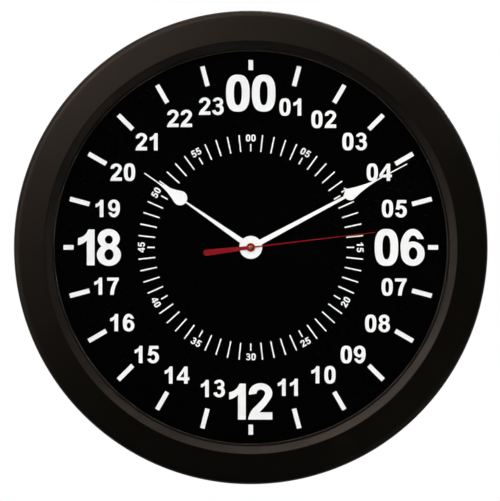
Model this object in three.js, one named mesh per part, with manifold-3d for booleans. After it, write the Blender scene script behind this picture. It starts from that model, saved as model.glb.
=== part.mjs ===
// Twenty-four hour wall clock: a round moulded case with a flat lens, a black dial,
// three hands and a battery quartz movement screwed through the middle of the board.
// Millimetres. The clock looks towards -Y, the wall is the plane y = 0 and +Z is up.
// Depths are measured from the wall towards the viewer, so a depth d lies at y = -d.

import * as THREE from 'three';
import { mergeVertices } from 'three/addons/utils/BufferGeometryUtils.js';
import Module from 'manifold-3d';

const wasm = await Module();
wasm.setup();

// Case, radial sizes
const outerDiameter = 356;
const rimRoundWidth = 5.6;
const coneWidth = 17.6;
const crestWidth = 1.0;
const flareWidth = 4.8;
const skirtWall = 3.2;
const lensBearing = 6.6;
const lensSideGap = 0.4;
const seatWall = 2.2;
const spacerWall = 3.4;
const spacerShow = 1.5;
const boardSideGap = 0.8;

// Case, depths
const flareDepth = 6.2;
const coneDrop = 8.0;
const rimRoundDrop = 8.6;
const lipThickness = 0.7;
const coneThickness = 3.2;
const seatWallDrop = 3.0;
const rearEdgeChamfer = 1.0;
const spacerFootThickness = 1.6;
const lensThickness = 2.0;
const lensHandGap = 1.7;
const dialThickness = 0.6;

// Back board and its screws
const boardThickness = 2.5;
const boardRimWidth = 2.4;
const boardRimHeight = 3.2;
const ribThickness = 1.8;
const ribHeight = 4.0;
const ribCount = 6;
const backScrewCount = 6;
const screwBossRadius = 4.2;
const screwHeadRadius = 3.2;
const screwHeadThickness = 2.2;
const screwCrownShare = 0.7;
const screwShankRadius = 1.45;
const backScrewLength = 9.0;
const screwTipLength = 1.2;

// Hanger
const hangerDrop = 42;
const hangerPlateWidth = 58;
const hangerPlateHeight = 26;
const hangerPlateThickness = 1.2;
const hangerScrewSpacing = 42;
const hangerSpacerRadius = 4.5;
const keyholeRadius = 4.6;
const keyholeSlotWidth = 5.2;
const keyholeSlotRise = 8.4;
const keyholeDrop = 2.5;

// Movement case
const movementWall = 1.2;
const movementCornerRadius = 3.0;
const coverThickness = 1.3;
const dividerThickness = 1.1;
const bridgeThickness = 1.0;
const locatingFrameWall = 2.0;
const locatingFrameHeight = 5.0;
const locatingFrameGap = 0.4;

// Battery
const batteryRadius = 7.25;
const batteryLength = 50.5;
const batteryNubRadius = 2.75;
const batteryNubLength = 1.2;
const batterySideGap = 0.35;
const contactThickness = 0.4;
const contactWidth = 9.0;
const contactGap = 0.3;
const leafBow = 0.9;

// Threaded stem, washers and nut
const stemRadius = 4.0;
const stemBoreRadius = 3.05;
const stemThreadOverrun = 0.6;
const rubberWasherThickness = 1.0;
const rubberWasherRadius = 10.0;
const brassWasherThickness = 0.5;
const brassWasherRadius = 8.2;
const nutThickness = 2.0;
const nutAcrossFlats = 12.0;
const nutCorners = 6;

// Wheel train. Every wheel that turns beside the dial axis stands at one distance from it.
const trainDistance = 11.2;
const rotorDistance = 7.3;
const gearThickness = 0.8;
const gearPlaneGap = 0.5;
const toothAddendum = 0.8;
const toothDedendum = 1.15;
const toothRootShare = 0.26;
const toothTipShare = 0.1;
const thirdWheelAngle = 170;
const intermediateAngle = 100;
const minuteWheelAngle = 30;
const rotorAngle = 60;
const teeth = {
  rotorPinion: 6,
  intermediateWheel: 36,
  intermediatePinion: 8,
  secondWheel: 40,
  secondPinion: 6,
  thirdWheel: 45,
  thirdPinion: 6,
  centreWheel: 48,
  cannonPinion: 8,
  minuteWheel: 32,
  minutePinion: 6,
  hourWheel: 36,
};

// Arbors and pipes
const arborRadius = 0.5;
const minuteArborRadius = 0.6;
const pivotBossRadius = 1.3;
const pivotBossHeight = 1.4;
const secondArborRadius = 0.75;
const minutePipeBore = 1.0;
const minutePipeRadius = 1.55;
const hourPipeBore = 1.85;
const hourPipeRadius = 2.7;

// Step motor and circuit
const magnetRadius = 2.2;
const magnetLength = 1.8;
const magnetGap = 0.5;
const statorThickness = 1.0;
const statorHalfHeight = 3.4;
const statorHalfWidth = 13.5;
const statorLegWidth = 4.0;
const coreThickness = 1.2;
const coreHeight = 2.6;
const coilRadius = 2.8;
const circuitGap = 1.2;
const circuitWidth = 11.0;
const circuitHeight = 15.5;
const circuitThickness = 1.0;
const crystalRadius = 1.0;
const crystalLength = 6.2;
const postRadius = 1.5;

// Setting knob
const knobRadius = 6.0;
const knobThickness = 2.0;
const knobWallGap = 1.0;
const knobFlutes = 18;
const knobFluteDepth = 0.5;
const knobRidgeShare = 0.6;
const knobGrooveShare = 0.8;

// Hands
const handThickness = 0.5;
const handHubRadius = 8.85;
const secondBossRadius = 3.2;
const bushFlangeThickness = 0.6;
const bushFlangeWidth = 1.6;
const bushWall = 0.8;
const bushProud = 0.4;
const secondBushWall = 0.4;
const handStackGap = 0.5;
const needleBendShare = 1.6;
const hourHandAngle = 304.9;
const minuteHandAngle = 61.9;
const secondHandAngle = 83.1;
const hourHand = {
  length: 97.5,
  rootWidth: 3.9,
  neckWidth: 1.2,
  bulbCentre: 64.7,
  bulbRadius: 5.4,
  taperAngle: 23,
  needleStart: 85.5,
  needleWidth: 0.85,
};
const minuteHand = {
  length: 133.1,
  rootWidth: 3.9,
  neckWidth: 2.05,
  bulbCentre: 84.5,
  bulbRadius: 4.45,
  taperAngle: 15,
  needleStart: 110,
  needleWidth: 0.8,
};
const secondHand = {
  length: 94.1,
  rootWidth: 1.1,
  tipWidth: 0.6,
  tailLength: 35.8,
  tailRootWidth: 2.5,
  tailEndWidth: 4.8,
};

// Shared clearances
const fitGap = 0.15;
const runGap = 0.3;
const joinDepth = 0.4;
const cutOverrun = 1.0;

// Smoothness of round forms
const ringSides = 72;
const sheetSides = 60;
const midSides = 18;
const smallSides = 12;
const arcSteps = 4;

// Finishes
const satinBlackPlastic = { color: 0x211d1a, roughness: 0.5, metalness: 0 };
const matteBlackPaint = { color: 0x060606, roughness: 0.8, metalness: 0 };
const clearGlass = { color: 0xf2f6f6, roughness: 0.02, metalness: 0, transparent: true, opacity: 0.12 };
const darkBoard = { color: 0x17171a, roughness: 0.6, metalness: 0 };
const movementBlack = { color: 0x1b1b1d, roughness: 0.55, metalness: 0 };
const whitePaint = { color: 0xf4f4f2, roughness: 0.5, metalness: 0 };
const redPaint = { color: 0xa0141c, roughness: 0.45, metalness: 0 };
const brass = { color: 0xc09a4e, roughness: 0.3, metalness: 1 };
const zincSteel = { color: 0xb7babd, roughness: 0.35, metalness: 1 };
const motorSteel = { color: 0x9a9da2, roughness: 0.4, metalness: 1 };
const magnetGrey = { color: 0x4c4d52, roughness: 0.45, metalness: 0.6 };
const copperWire = { color: 0xb0602c, roughness: 0.4, metalness: 0.8 };
const circuitGreen = { color: 0x1f5a33, roughness: 0.5, metalness: 0 };
const whiteGear = { color: 0xe6e4dc, roughness: 0.5, metalness: 0 };
const blackRubber = { color: 0x121212, roughness: 0.9, metalness: 0 };
const batteryJacket = { color: 0x3a3f47, roughness: 0.35, metalness: 0.4 };
const greyKnob = { color: 0x8d8f92, roughness: 0.5, metalness: 0 };

// Solid helpers

function asSolid(geometry) {
  const bare = geometry.clone();
  bare.deleteAttribute('normal');
  bare.deleteAttribute('uv');
  const welded = mergeVertices(bare);
  const corners = welded.index.array;
  const kept = [];
  for (let i = 0; i < corners.length; i += 3) {
    const [a, b, c] = corners.slice(i, i + 3);
    if (a !== b && b !== c && c !== a) kept.push(a, b, c);
  }
  const vertProperties = new Float32Array(welded.attributes.position.array);
  const triVerts = new Uint32Array(kept);
  return new wasm.Manifold(new wasm.Mesh({ numProp: 3, vertProperties, triVerts }));
}

function asGeometry(solid) {
  const mesh = solid.getMesh();
  const geometry = new THREE.BufferGeometry();
  geometry.setAttribute('position', new THREE.BufferAttribute(mesh.vertProperties, 3));
  geometry.setIndex(new THREE.BufferAttribute(mesh.triVerts, 1));
  geometry.computeVertexNormals();
  return geometry;
}

function join(...geometries) {
  const solids = geometries.map(asSolid);
  return asGeometry(solids.reduce((whole, next) => whole.add(next)));
}

function cut(geometry, ...tools) {
  const solids = tools.map(asSolid);
  return asGeometry(solids.reduce((rest, tool) => rest.subtract(tool), asSolid(geometry)));
}

// A form turned about the dial axis from a closed list of [radius, depth] corners,
// or from a list that starts and ends on the axis.
function turned(profile, sides = midSides) {
  const points = profile.map(([radius, depth]) => new THREE.Vector2(radius, -depth));
  if (THREE.ShapeUtils.isClockWise(points)) points.reverse();
  if (points[0].x > 0) points.push(points[0].clone());
  return new THREE.LatheGeometry(points, sides);
}

function tube(bore, radius, back, front, sides = midSides) {
  return turned([[bore, back], [radius, back], [radius, front], [bore, front]], sides);
}

function rod(radius, back, front, sides = smallSides) {
  return turned([[0, back], [radius, back], [radius, front], [0, front]], sides);
}

// A flat outline, drawn as the viewer sees it, extruded from one depth to another.
function plate(shape, back, front) {
  const options = { depth: front - back, bevelEnabled: false, curveSegments: arcSteps };
  return new THREE.ExtrudeGeometry(shape, options).rotateX(Math.PI / 2).translate(0, -back, 0);
}

function box(left, right, low, high, back, front) {
  const size = [right - left, front - back, high - low];
  const middle = [(left + right) / 2, -(back + front) / 2, (low + high) / 2];
  return new THREE.BoxGeometry(...size).translate(...middle);
}

function rectangle(left, right, low, high, corner) {
  const shape = new THREE.Shape();
  shape.moveTo(left + corner, low);
  shape.lineTo(right - corner, low);
  shape.absarc(right - corner, low + corner, corner, -Math.PI / 2, 0);
  shape.lineTo(right, high - corner);
  shape.absarc(right - corner, high - corner, corner, 0, Math.PI / 2);
  shape.lineTo(left + corner, high);
  shape.absarc(left + corner, high - corner, corner, Math.PI / 2, Math.PI);
  shape.lineTo(left, low + corner);
  shape.absarc(left + corner, low + corner, corner, Math.PI, Math.PI * 1.5);
  return shape;
}

function outlineOf(corners) {
  return new THREE.Shape(corners.map(([x, z]) => new THREE.Vector2(x, z)));
}

function roundHole(radius, x = 0, z = 0, sides = smallSides) {
  const corners = Array.from({ length: sides }, (_, i) => polar(radius, (-i * 360) / sides));
  return new THREE.Path(corners.map(([dx, dz]) => new THREE.Vector2(x + dx, z + dz)));
}

function moved(geometry, [x, z]) {
  return geometry.translate(x, 0, z);
}

// Places seen from the front: polar angles run anticlockwise from +X, clock angles clockwise from +Z.
function polar(distance, degrees) {
  const angle = THREE.MathUtils.degToRad(degrees);
  return [distance * Math.cos(angle), distance * Math.sin(angle)];
}

function clockPlace(distance, degrees) {
  return polar(distance, 90 - degrees);
}

function addPiece(parent, name, geometry, finish) {
  const mesh = new THREE.Mesh(geometry, new THREE.MeshStandardMaterial(finish));
  mesh.name = name;
  parent.add(mesh);
  return mesh;
}

// Gears: trapezoid teeth with generous backlash, one tooth or one gap facing the partner

function pitchRadius(own, partner, distance) {
  return (distance * own) / (own + partner);
}

function tipRadius(own, partner, distance) {
  return pitchRadius(own, partner, distance) + (toothAddendum * 2 * distance) / (own + partner);
}

function gear(own, partner, distance, phaseDegrees, back, front) {
  const unit = (2 * distance) / (own + partner);
  const pitch = pitchRadius(own, partner, distance);
  const root = pitch - toothDedendum * unit;
  const tip = pitch + toothAddendum * unit;
  const step = 360 / own;
  const corners = [];
  for (let tooth = 0; tooth < own; tooth += 1) {
    const middle = phaseDegrees + tooth * step;
    corners.push(polar(root, middle - toothRootShare * step));
    corners.push(polar(tip, middle - toothTipShare * step));
    corners.push(polar(tip, middle + toothTipShare * step));
    corners.push(polar(root, middle + toothRootShare * step));
  }
  return plate(outlineOf(corners), back, front);
}

// The pinion turns a tooth towards its wheel, and the wheel a gap towards its pinion.
function pinion(own, partner, distance, towardsWheel, back, front) {
  return gear(own, partner, distance, towardsWheel, back, front);
}

function wheel(own, partner, distance, towardsPinion, back, front) {
  return gear(own, partner, distance, towardsPinion + 180 / own, back, front);
}

// Places of the train, seen from the front with the dial axis at [0, 0]
const thirdPlace = polar(trainDistance, thirdWheelAngle);
const intermediatePlace = polar(trainDistance, intermediateAngle);
const minuteWheelPlace = polar(trainDistance, minuteWheelAngle);
const rotorOffset = polar(rotorDistance, rotorAngle);
const rotorPlace = [intermediatePlace[0] + rotorOffset[0], intermediatePlace[1] + rotorOffset[1]];

const thirdWheelTip = tipRadius(teeth.thirdWheel, teeth.secondPinion, trainDistance);
const centreWheelTip = tipRadius(teeth.centreWheel, teeth.thirdPinion, trainDistance);
const minuteWheelTip = tipRadius(teeth.minuteWheel, teeth.cannonPinion, trainDistance);

// Depth planes of the movement, from its rear cover towards the dial
const knobRear = knobWallGap;
const knobFront = knobRear + knobThickness;
const coverRear = knobFront + runGap;
const coverFront = coverRear + coverThickness;
const bridgeRear = coverFront + runGap;
const bridgeFront = bridgeRear + bridgeThickness;
const gearPitch = gearThickness + gearPlaneGap;
const gearPlane = (order) => bridgeFront + gearPlaneGap + order * gearPitch;
const intermediatePlane = gearPlane(0);
const secondPlane = gearPlane(1);
const thirdPlane = gearPlane(2);
const centrePlane = gearPlane(3);
const minutePlane = gearPlane(4);
const hourPlane = gearPlane(5);
const trainFront = hourPlane + gearThickness + runGap + pivotBossHeight;
const bayFront = coverRear + 2 * batteryRadius + batterySideGap;
const roomFront = Math.max(trainFront, bayFront);
const movementFront = roomFront + movementWall;

// Depths of the dial stack and the hands
const boardRear = movementFront + rubberWasherThickness;
const boardFront = boardRear + boardThickness;
const dialFront = boardFront + dialThickness;
const nutRear = dialFront + brassWasherThickness;
const nutFront = nutRear + nutThickness;
const stemFront = nutFront + stemThreadOverrun;
const bushDepth = bushFlangeThickness + handThickness + bushProud;
const hourBushRear = stemFront + runGap;
const hourBushFront = hourBushRear + bushDepth;
const minuteBushRear = hourBushFront + handStackGap;
const minuteBushFront = minuteBushRear + bushDepth;
const secondBushRear = minuteBushFront + handStackGap;
const secondBushFront = secondBushRear + bushDepth;
const lensRear = secondBushFront + lensHandGap;
const lensFront = lensRear + lensThickness;

// Radii and depths of the case
const outerRadius = outerDiameter / 2;
const coneOuterRadius = outerRadius - rimRoundWidth;
const coneInnerRadius = coneOuterRadius - coneWidth;
const crestInnerRadius = coneInnerRadius - crestWidth;
const sightRadius = crestInnerRadius - flareWidth;
const skirtRadius = outerRadius - skirtWall;
const lensRadius = sightRadius + lensBearing;
const seatRadius = lensRadius + lensSideGap;
const seatOuterRadius = seatRadius + seatWall;
const boardRadius = skirtRadius - boardSideGap;
const screwCircle = (seatOuterRadius + skirtRadius) / 2;
const lipFront = lensFront + lipThickness;
const crestDepth = lipFront + flareDepth;
const coneOuterDepth = crestDepth - coneDrop;
const shoulderDepth = coneOuterDepth - rimRoundDrop;
const coneSlope = coneDrop / coneWidth;
const coneDepthAt = (radius) => crestDepth - (radius - coneInnerRadius) * coneSlope;

const screwAngles = Array.from({ length: backScrewCount }, (_, i) => ((i + 0.5) * 360) / backScrewCount);
const screwPlaces = screwAngles.map((degrees) => clockPlace(screwCircle, degrees));

// The hanger stands off the board on two spacers, with its screw heads clear of the wall
const hangerHeight = boardRadius - hangerDrop;
const hangerPlaces = [-1, 1].map((side) => [(side * hangerScrewSpacing) / 2, hangerHeight]);
const hangerRear = knobRear + runGap + screwHeadThickness;
const hangerFront = hangerRear + hangerPlateThickness;
const hangerScrewLength = boardFront - runGap - hangerRear;

// Outline of the movement: the train room above, the battery bay below
const wheelLows = [
  -centreWheelTip,
  thirdPlace[1] - thirdWheelTip,
  minuteWheelPlace[1] - minuteWheelTip,
];
const roomLow = Math.min(...wheelLows) - runGap;
const bayHigh = roomLow - dividerThickness;
const batteryHeight = bayHigh - batterySideGap - batteryRadius;
const bayLow = batteryHeight - batteryRadius - batterySideGap;
const coilHeight = rotorPlace[1] + statorHalfHeight + runGap + coilRadius;
const roomHigh = coilHeight + coilRadius + runGap;
const bayHalf = (batteryLength + 2 * contactThickness + leafBow + 3 * contactGap) / 2;
const movementHalf = bayHalf + movementWall;
const movementHigh = roomHigh + movementWall;
const movementLow = bayLow - movementWall;
const batteryDepth = coverRear + batteryRadius;

// Case pieces

function bezelGeometry() {
  const rimCurve = new THREE.QuadraticBezierCurve(
    new THREE.Vector2(coneOuterRadius, coneOuterDepth),
    new THREE.Vector2(outerRadius, coneOuterDepth - rimRoundWidth * coneSlope),
    new THREE.Vector2(outerRadius, shoulderDepth),
  );
  const rimPoints = rimCurve.getPoints(arcSteps).map(({ x, y }) => [x, y]);
  const crestMiddle = (coneInnerRadius + crestInnerRadius) / 2;
  const ring = turned([
    [sightRadius, lensFront],
    [sightRadius, lipFront],
    [crestInnerRadius, crestDepth - crestWidth / 4],
    [crestMiddle, crestDepth + crestWidth / 4],
    [coneInnerRadius, crestDepth],
    ...rimPoints,
    [outerRadius, rearEdgeChamfer],
    [outerRadius - rearEdgeChamfer, 0],
    [skirtRadius, 0],
    [skirtRadius, shoulderDepth - coneThickness],
    [coneOuterRadius - coneThickness / 2, coneOuterDepth - coneThickness],
    [seatOuterRadius, coneDepthAt(seatOuterRadius) - coneThickness],
    [seatOuterRadius, lensRear - seatWallDrop],
    [seatRadius, lensRear - seatWallDrop],
    [seatRadius, lensFront],
  ], ringSides);
  const bossFront = coneDepthAt(screwCircle + screwBossRadius) - coneThickness / 2;
  const bosses = screwPlaces.map((place) => moved(rod(screwBossRadius, boardFront, bossFront), place));
  const pilotFront = boardRear + backScrewLength + screwTipLength;
  const pilotRadius = screwShankRadius + fitGap;
  const pilots = screwPlaces.map((place) => moved(rod(pilotRadius, 0, pilotFront), place));
  return cut(join(ring, ...bosses), ...pilots);
}

function spacerGeometry() {
  const inner = sightRadius - spacerShow;
  return turned([
    [inner, dialFront],
    [lensRadius, dialFront],
    [lensRadius, dialFront + spacerFootThickness],
    [inner + spacerWall, dialFront + spacerFootThickness],
    [inner + spacerWall, lensRear],
    [inner, lensRear],
  ], sheetSides);
}

function backBoardGeometry() {
  const sheet = tube(stemRadius + runGap, boardRadius, boardRear, boardFront, sheetSides);
  const ribBack = boardRear - ribHeight;
  const ribFront = boardRear + joinDepth;
  const rimInner = boardRadius - boardRimWidth;
  const rim = tube(rimInner, boardRadius, boardRear - boardRimHeight, ribFront, sheetSides);
  const reach = locatingFrameGap;
  const inner = [-movementHalf - reach, movementHalf + reach, movementLow - reach, movementHigh + reach];
  const corner = movementCornerRadius + reach;
  const wall = locatingFrameWall;
  const outer = [inner[0] - wall, inner[1] + wall, inner[2] - wall, inner[3] + wall];
  const frameShape = rectangle(...outer, corner + wall);
  frameShape.holes.push(rectangle(...inner, corner));
  const frame = plate(frameShape, boardRear - locatingFrameHeight, ribFront);
  const ribs = Array.from({ length: ribCount }, (_, i) => {
    const start = Math.hypot(outer[1], outer[3]);
    const half = ribThickness / 2;
    const bar = box(-half, half, start, rimInner + joinDepth, ribBack, ribFront);
    return bar.rotateY((i * Math.PI * 2) / ribCount);
  });
  const holes = [...screwPlaces, ...hangerPlaces].map((place) => {
    return moved(rod(screwShankRadius + runGap, 0, boardFront + cutOverrun), place);
  });
  return cut(join(sheet, rim, frame, ...ribs), ...holes);
}

function screwGeometry(seat, length) {
  const rear = seat - screwHeadThickness;
  const tip = seat + length;
  return turned([
    [0, rear],
    [screwHeadRadius * screwCrownShare, rear],
    [screwHeadRadius, rear + screwHeadThickness / 2],
    [screwHeadRadius, seat],
    [screwShankRadius, seat],
    [screwShankRadius, tip - screwTipLength],
    [0, tip],
  ], smallSides);
}

function hangerGeometry() {
  const half = hangerPlateWidth / 2;
  const low = hangerHeight - hangerPlateHeight / 2;
  const high = hangerHeight + hangerPlateHeight / 2;
  const outline = rectangle(-half, half, low, high, hangerSpacerRadius);
  const slotHalf = keyholeSlotWidth / 2;
  const entry = hangerHeight - keyholeDrop;
  const slotTop = entry + keyholeSlotRise;
  const meet = Math.acos(slotHalf / keyholeRadius);
  const keyhole = new THREE.Path();
  keyhole.moveTo(-slotHalf, slotTop);
  keyhole.lineTo(slotHalf, slotTop);
  keyhole.absarc(0, entry, keyholeRadius, meet, Math.PI - meet, true);
  keyhole.closePath();
  const holeRadius = screwShankRadius + runGap;
  outline.holes.push(keyhole);
  hangerPlaces.forEach(([x, z]) => outline.holes.push(roundHole(holeRadius, x, z)));
  return plate(outline, hangerRear, hangerFront);
}

function addCase(parent) {
  addPiece(parent, 'bezel', bezelGeometry(), satinBlackPlastic);
  addPiece(parent, 'lens', rod(lensRadius, lensRear, lensFront, sheetSides), clearGlass);
  addPiece(parent, 'spacer_ring', spacerGeometry(), satinBlackPlastic);
  const dial = tube(stemRadius + runGap, lensRadius, boardFront, dialFront, sheetSides);
  addPiece(parent, 'dial', dial, matteBlackPaint);
  addPiece(parent, 'back_board', backBoardGeometry(), darkBoard);
  screwPlaces.forEach(([x, z], i) => {
    const screwForm = screwGeometry(boardRear, backScrewLength);
    const screw = addPiece(parent, `back_screw_${i + 1}`, screwForm, zincSteel);
    screw.position.set(x, 0, z);
  });
  addPiece(parent, 'hanger_plate', hangerGeometry(), zincSteel);
  hangerPlaces.forEach(([x, z], i) => {
    const bore = screwShankRadius + runGap;
    const spacerForm = tube(bore, hangerSpacerRadius, hangerFront, boardRear, smallSides);
    const spacer = addPiece(parent, `hanger_spacer_${i + 1}`, spacerForm, satinBlackPlastic);
    spacer.position.set(x, 0, z);
    const screwForm = screwGeometry(hangerRear, hangerScrewLength);
    const screw = addPiece(parent, `hanger_screw_${i + 1}`, screwForm, zincSteel);
    screw.position.set(x, 0, z);
  });
}

// Movement pieces

const postPlaces = {
  stator: [-1, 1].map((side) => [side * (statorHalfWidth - statorLegWidth / 2), rotorPlace[1]]),
  bridge: [
    [-bayHalf + 2 * postRadius, roomLow + 2 * postRadius],
    [bayHalf - 2 * postRadius, roomLow + 2 * postRadius],
    [-bayHalf + 2 * postRadius, rotorPlace[1] - statorHalfHeight],
  ],
};
const statorRear = thirdPlane;
const statorFront = statorRear + statorThickness;
const coreFront = statorFront + coreThickness;
const circuitLeft = statorHalfWidth + circuitGap;
const circuitHigh = roomHigh - runGap;
const circuitRear = intermediatePlane + gearPlaneGap;
const circuitFront = circuitRear + circuitThickness;
const circuitMiddle = circuitLeft + circuitWidth / 2;
const circuitPosts = [-1, 1].map((side) => {
  return [circuitMiddle, circuitHigh - circuitHeight / 2 + (side * circuitHeight) / 3];
});

function movementCaseGeometry() {
  const full = rectangle(-movementHalf, movementHalf, movementLow, movementHigh, movementCornerRadius);
  const block = plate(full, coverFront, movementFront);
  const bayBlock = box(-movementHalf, movementHalf, movementLow + movementCornerRadius, roomLow,
    coverRear, coverFront + joinDepth);
  const stem = rod(stemRadius, movementFront - joinDepth, stemFront, midSides);
  const room = box(-bayHalf, bayHalf, roomLow, roomHigh, 0, roomFront);
  const bay = box(-bayHalf, bayHalf, bayLow, bayHigh, 0, roomFront);
  const hollow = cut(join(block, bayBlock, stem), room, bay);
  const floor = roomFront + joinDepth;
  const hourSeat = rod(stemBoreRadius + movementWall, hourPlane + gearThickness + runGap, floor, midSides);
  const pivotBosses = [thirdPlace, intermediatePlace, minuteWheelPlace].map((place) => {
    return moved(rod(pivotBossRadius, roomFront - pivotBossHeight, floor), place);
  });
  const rotorBoss = moved(rod(pivotBossRadius, coreFront + runGap, floor), rotorPlace);
  const statorPosts = postPlaces.stator.map((place) => moved(rod(postRadius, statorFront, floor), place));
  const bridgePosts = postPlaces.bridge.map((place) => moved(rod(postRadius, bridgeFront, floor), place));
  const boardPosts = circuitPosts.map((place) => moved(rod(postRadius, circuitFront, floor), place));
  const posts = [...statorPosts, ...bridgePosts, ...boardPosts];
  const filled = join(hollow, hourSeat, ...pivotBosses, rotorBoss, ...posts);
  const stemBore = rod(stemBoreRadius, 0, stemFront + cutOverrun, midSides);
  const pivots = [thirdPlace, intermediatePlace, minuteWheelPlace, rotorPlace].map((place) => {
    return moved(rod(minuteArborRadius + runGap, 0, roomFront), place);
  });
  return cut(filled, stemBore, ...pivots);
}

function coverGeometry() {
  const low = roomLow + fitGap;
  const outline = rectangle(-movementHalf, movementHalf, low, movementHigh, movementCornerRadius);
  outline.holes.push(roundHole(minuteArborRadius + runGap, ...minuteWheelPlace));
  return plate(outline, coverRear, coverFront);
}

function bridgeGeometry() {
  const [rotorX, rotorZ] = rotorPlace;
  const low = roomLow + runGap;
  const half = bayHalf - runGap;
  const side = rotorZ - statorHalfHeight + 2 * postRadius;
  const tongue = 2 * postRadius + pivotBossRadius;
  const [minuteX, minuteZ] = minuteWheelPlace;
  const corners = [
    [-half, low],
    [half, low],
    [half, low + 4 * postRadius],
    [minuteX + tongue, minuteZ + tongue],
    [rotorX + tongue, rotorZ + tongue],
    [rotorX - tongue, rotorZ + tongue],
    [rotorX - 3 * tongue, side],
    [-half, side],
  ];
  const outline = outlineOf(corners);
  outline.holes.push(roundHole(secondArborRadius + runGap));
  [thirdPlace, intermediatePlace, rotorPlace, minuteWheelPlace].forEach((place) => {
    outline.holes.push(roundHole(minuteArborRadius + runGap, ...place));
  });
  return plate(outline, bridgeRear, bridgeFront);
}

function statorGeometry() {
  const [rotorX, rotorZ] = rotorPlace;
  const half = statorHalfWidth;
  const low = rotorZ - statorHalfHeight;
  const high = rotorZ + statorHalfHeight;
  const top = coilHeight + coreHeight / 2;
  const inside = half - statorLegWidth;
  const corners = [
    [-half, low],
    [half, low],
    [half, top],
    [inside, top],
    [inside, high],
    [-inside, high],
    [-inside, top],
    [-half, top],
  ];
  const outline = outlineOf(corners);
  outline.holes.push(roundHole(magnetRadius + magnetGap, rotorX, rotorZ));
  return plate(outline, statorRear, statorFront);
}

function coilGeometry() {
  const half = statorHalfWidth - statorLegWidth - runGap;
  const core = coreHeight / 2 + fitGap;
  const axisDepth = (statorFront + coreFront) / 2;
  const winding = new THREE.CylinderGeometry(coilRadius, coilRadius, 2 * half, midSides);
  winding.rotateZ(Math.PI / 2).translate(0, -axisDepth, coilHeight);
  const reach = half + cutOverrun;
  const slot = box(-reach, reach, coilHeight - core, coilHeight + core,
    statorFront - fitGap, coreFront + fitGap);
  return cut(winding, slot);
}

function crystalGeometry() {
  const can = new THREE.CylinderGeometry(crystalRadius, crystalRadius, crystalLength, smallSides);
  const depth = circuitRear - crystalRadius - fitGap;
  return can.rotateX(Math.PI / 2).translate(circuitMiddle, -depth, circuitHigh - circuitHeight / 2);
}

function addMovementFrame(parent) {
  addPiece(parent, 'movement_case', movementCaseGeometry(), movementBlack);
  addPiece(parent, 'movement_cover', coverGeometry(), movementBlack);
  addPiece(parent, 'gear_bridge', bridgeGeometry(), whiteGear);
  addPiece(parent, 'stator', statorGeometry(), motorSteel);
  const coreLow = coilHeight - coreHeight / 2;
  const coreHalf = statorHalfWidth;
  const coreBar = box(-coreHalf, coreHalf, coreLow, coreLow + coreHeight, statorFront, coreFront);
  addPiece(parent, 'coil_core', coreBar, motorSteel);
  addPiece(parent, 'coil', coilGeometry(), copperWire);
  const circuit = box(circuitLeft, circuitLeft + circuitWidth, circuitHigh - circuitHeight, circuitHigh,
    circuitRear, circuitFront);
  addPiece(parent, 'circuit_board', circuit, circuitGreen);
  addPiece(parent, 'quartz_crystal', crystalGeometry(), zincSteel);
}

function contactGeometry(bow) {
  const half = contactWidth / 2;
  const corners = [
    [0, -half],
    [contactThickness, -half],
    [contactThickness + bow, 0],
    [contactThickness, half],
    [0, half],
    [bow, 0],
  ];
  const outline = outlineOf(corners);
  const depth = contactWidth / 2;
  return plate(outline, batteryDepth - depth, batteryDepth + depth);
}

function batteryGeometry() {
  const half = batteryLength / 2;
  const shoulder = half - batteryNubLength;
  const edge = batteryNubLength / 2;
  return turned([
    [0, -half],
    [batteryNubRadius, -half],
    [batteryNubRadius, -shoulder],
    [batteryRadius - edge, -shoulder],
    [batteryRadius, -shoulder + edge],
    [batteryRadius, half - edge],
    [batteryRadius - edge, half],
    [0, half],
  ], midSides).rotateZ(Math.PI / 2);
}

function addBattery(parent) {
  const positive = addPiece(parent, 'battery_contact_positive', contactGeometry(0), zincSteel);
  positive.position.set(-bayHalf + contactGap / 2, 0, batteryHeight);
  const negative = addPiece(parent, 'battery_contact_negative', contactGeometry(leafBow), zincSteel);
  negative.position.set(bayHalf - contactGap / 2, 0, batteryHeight);
  negative.scale.x = -1;
  const battery = addPiece(parent, 'battery', batteryGeometry(), batteryJacket);
  battery.position.set(-leafBow / 2, -batteryDepth, batteryHeight);
}

// Wheels of the train, each with its pinion, arbor or pipe in one moulding

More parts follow.
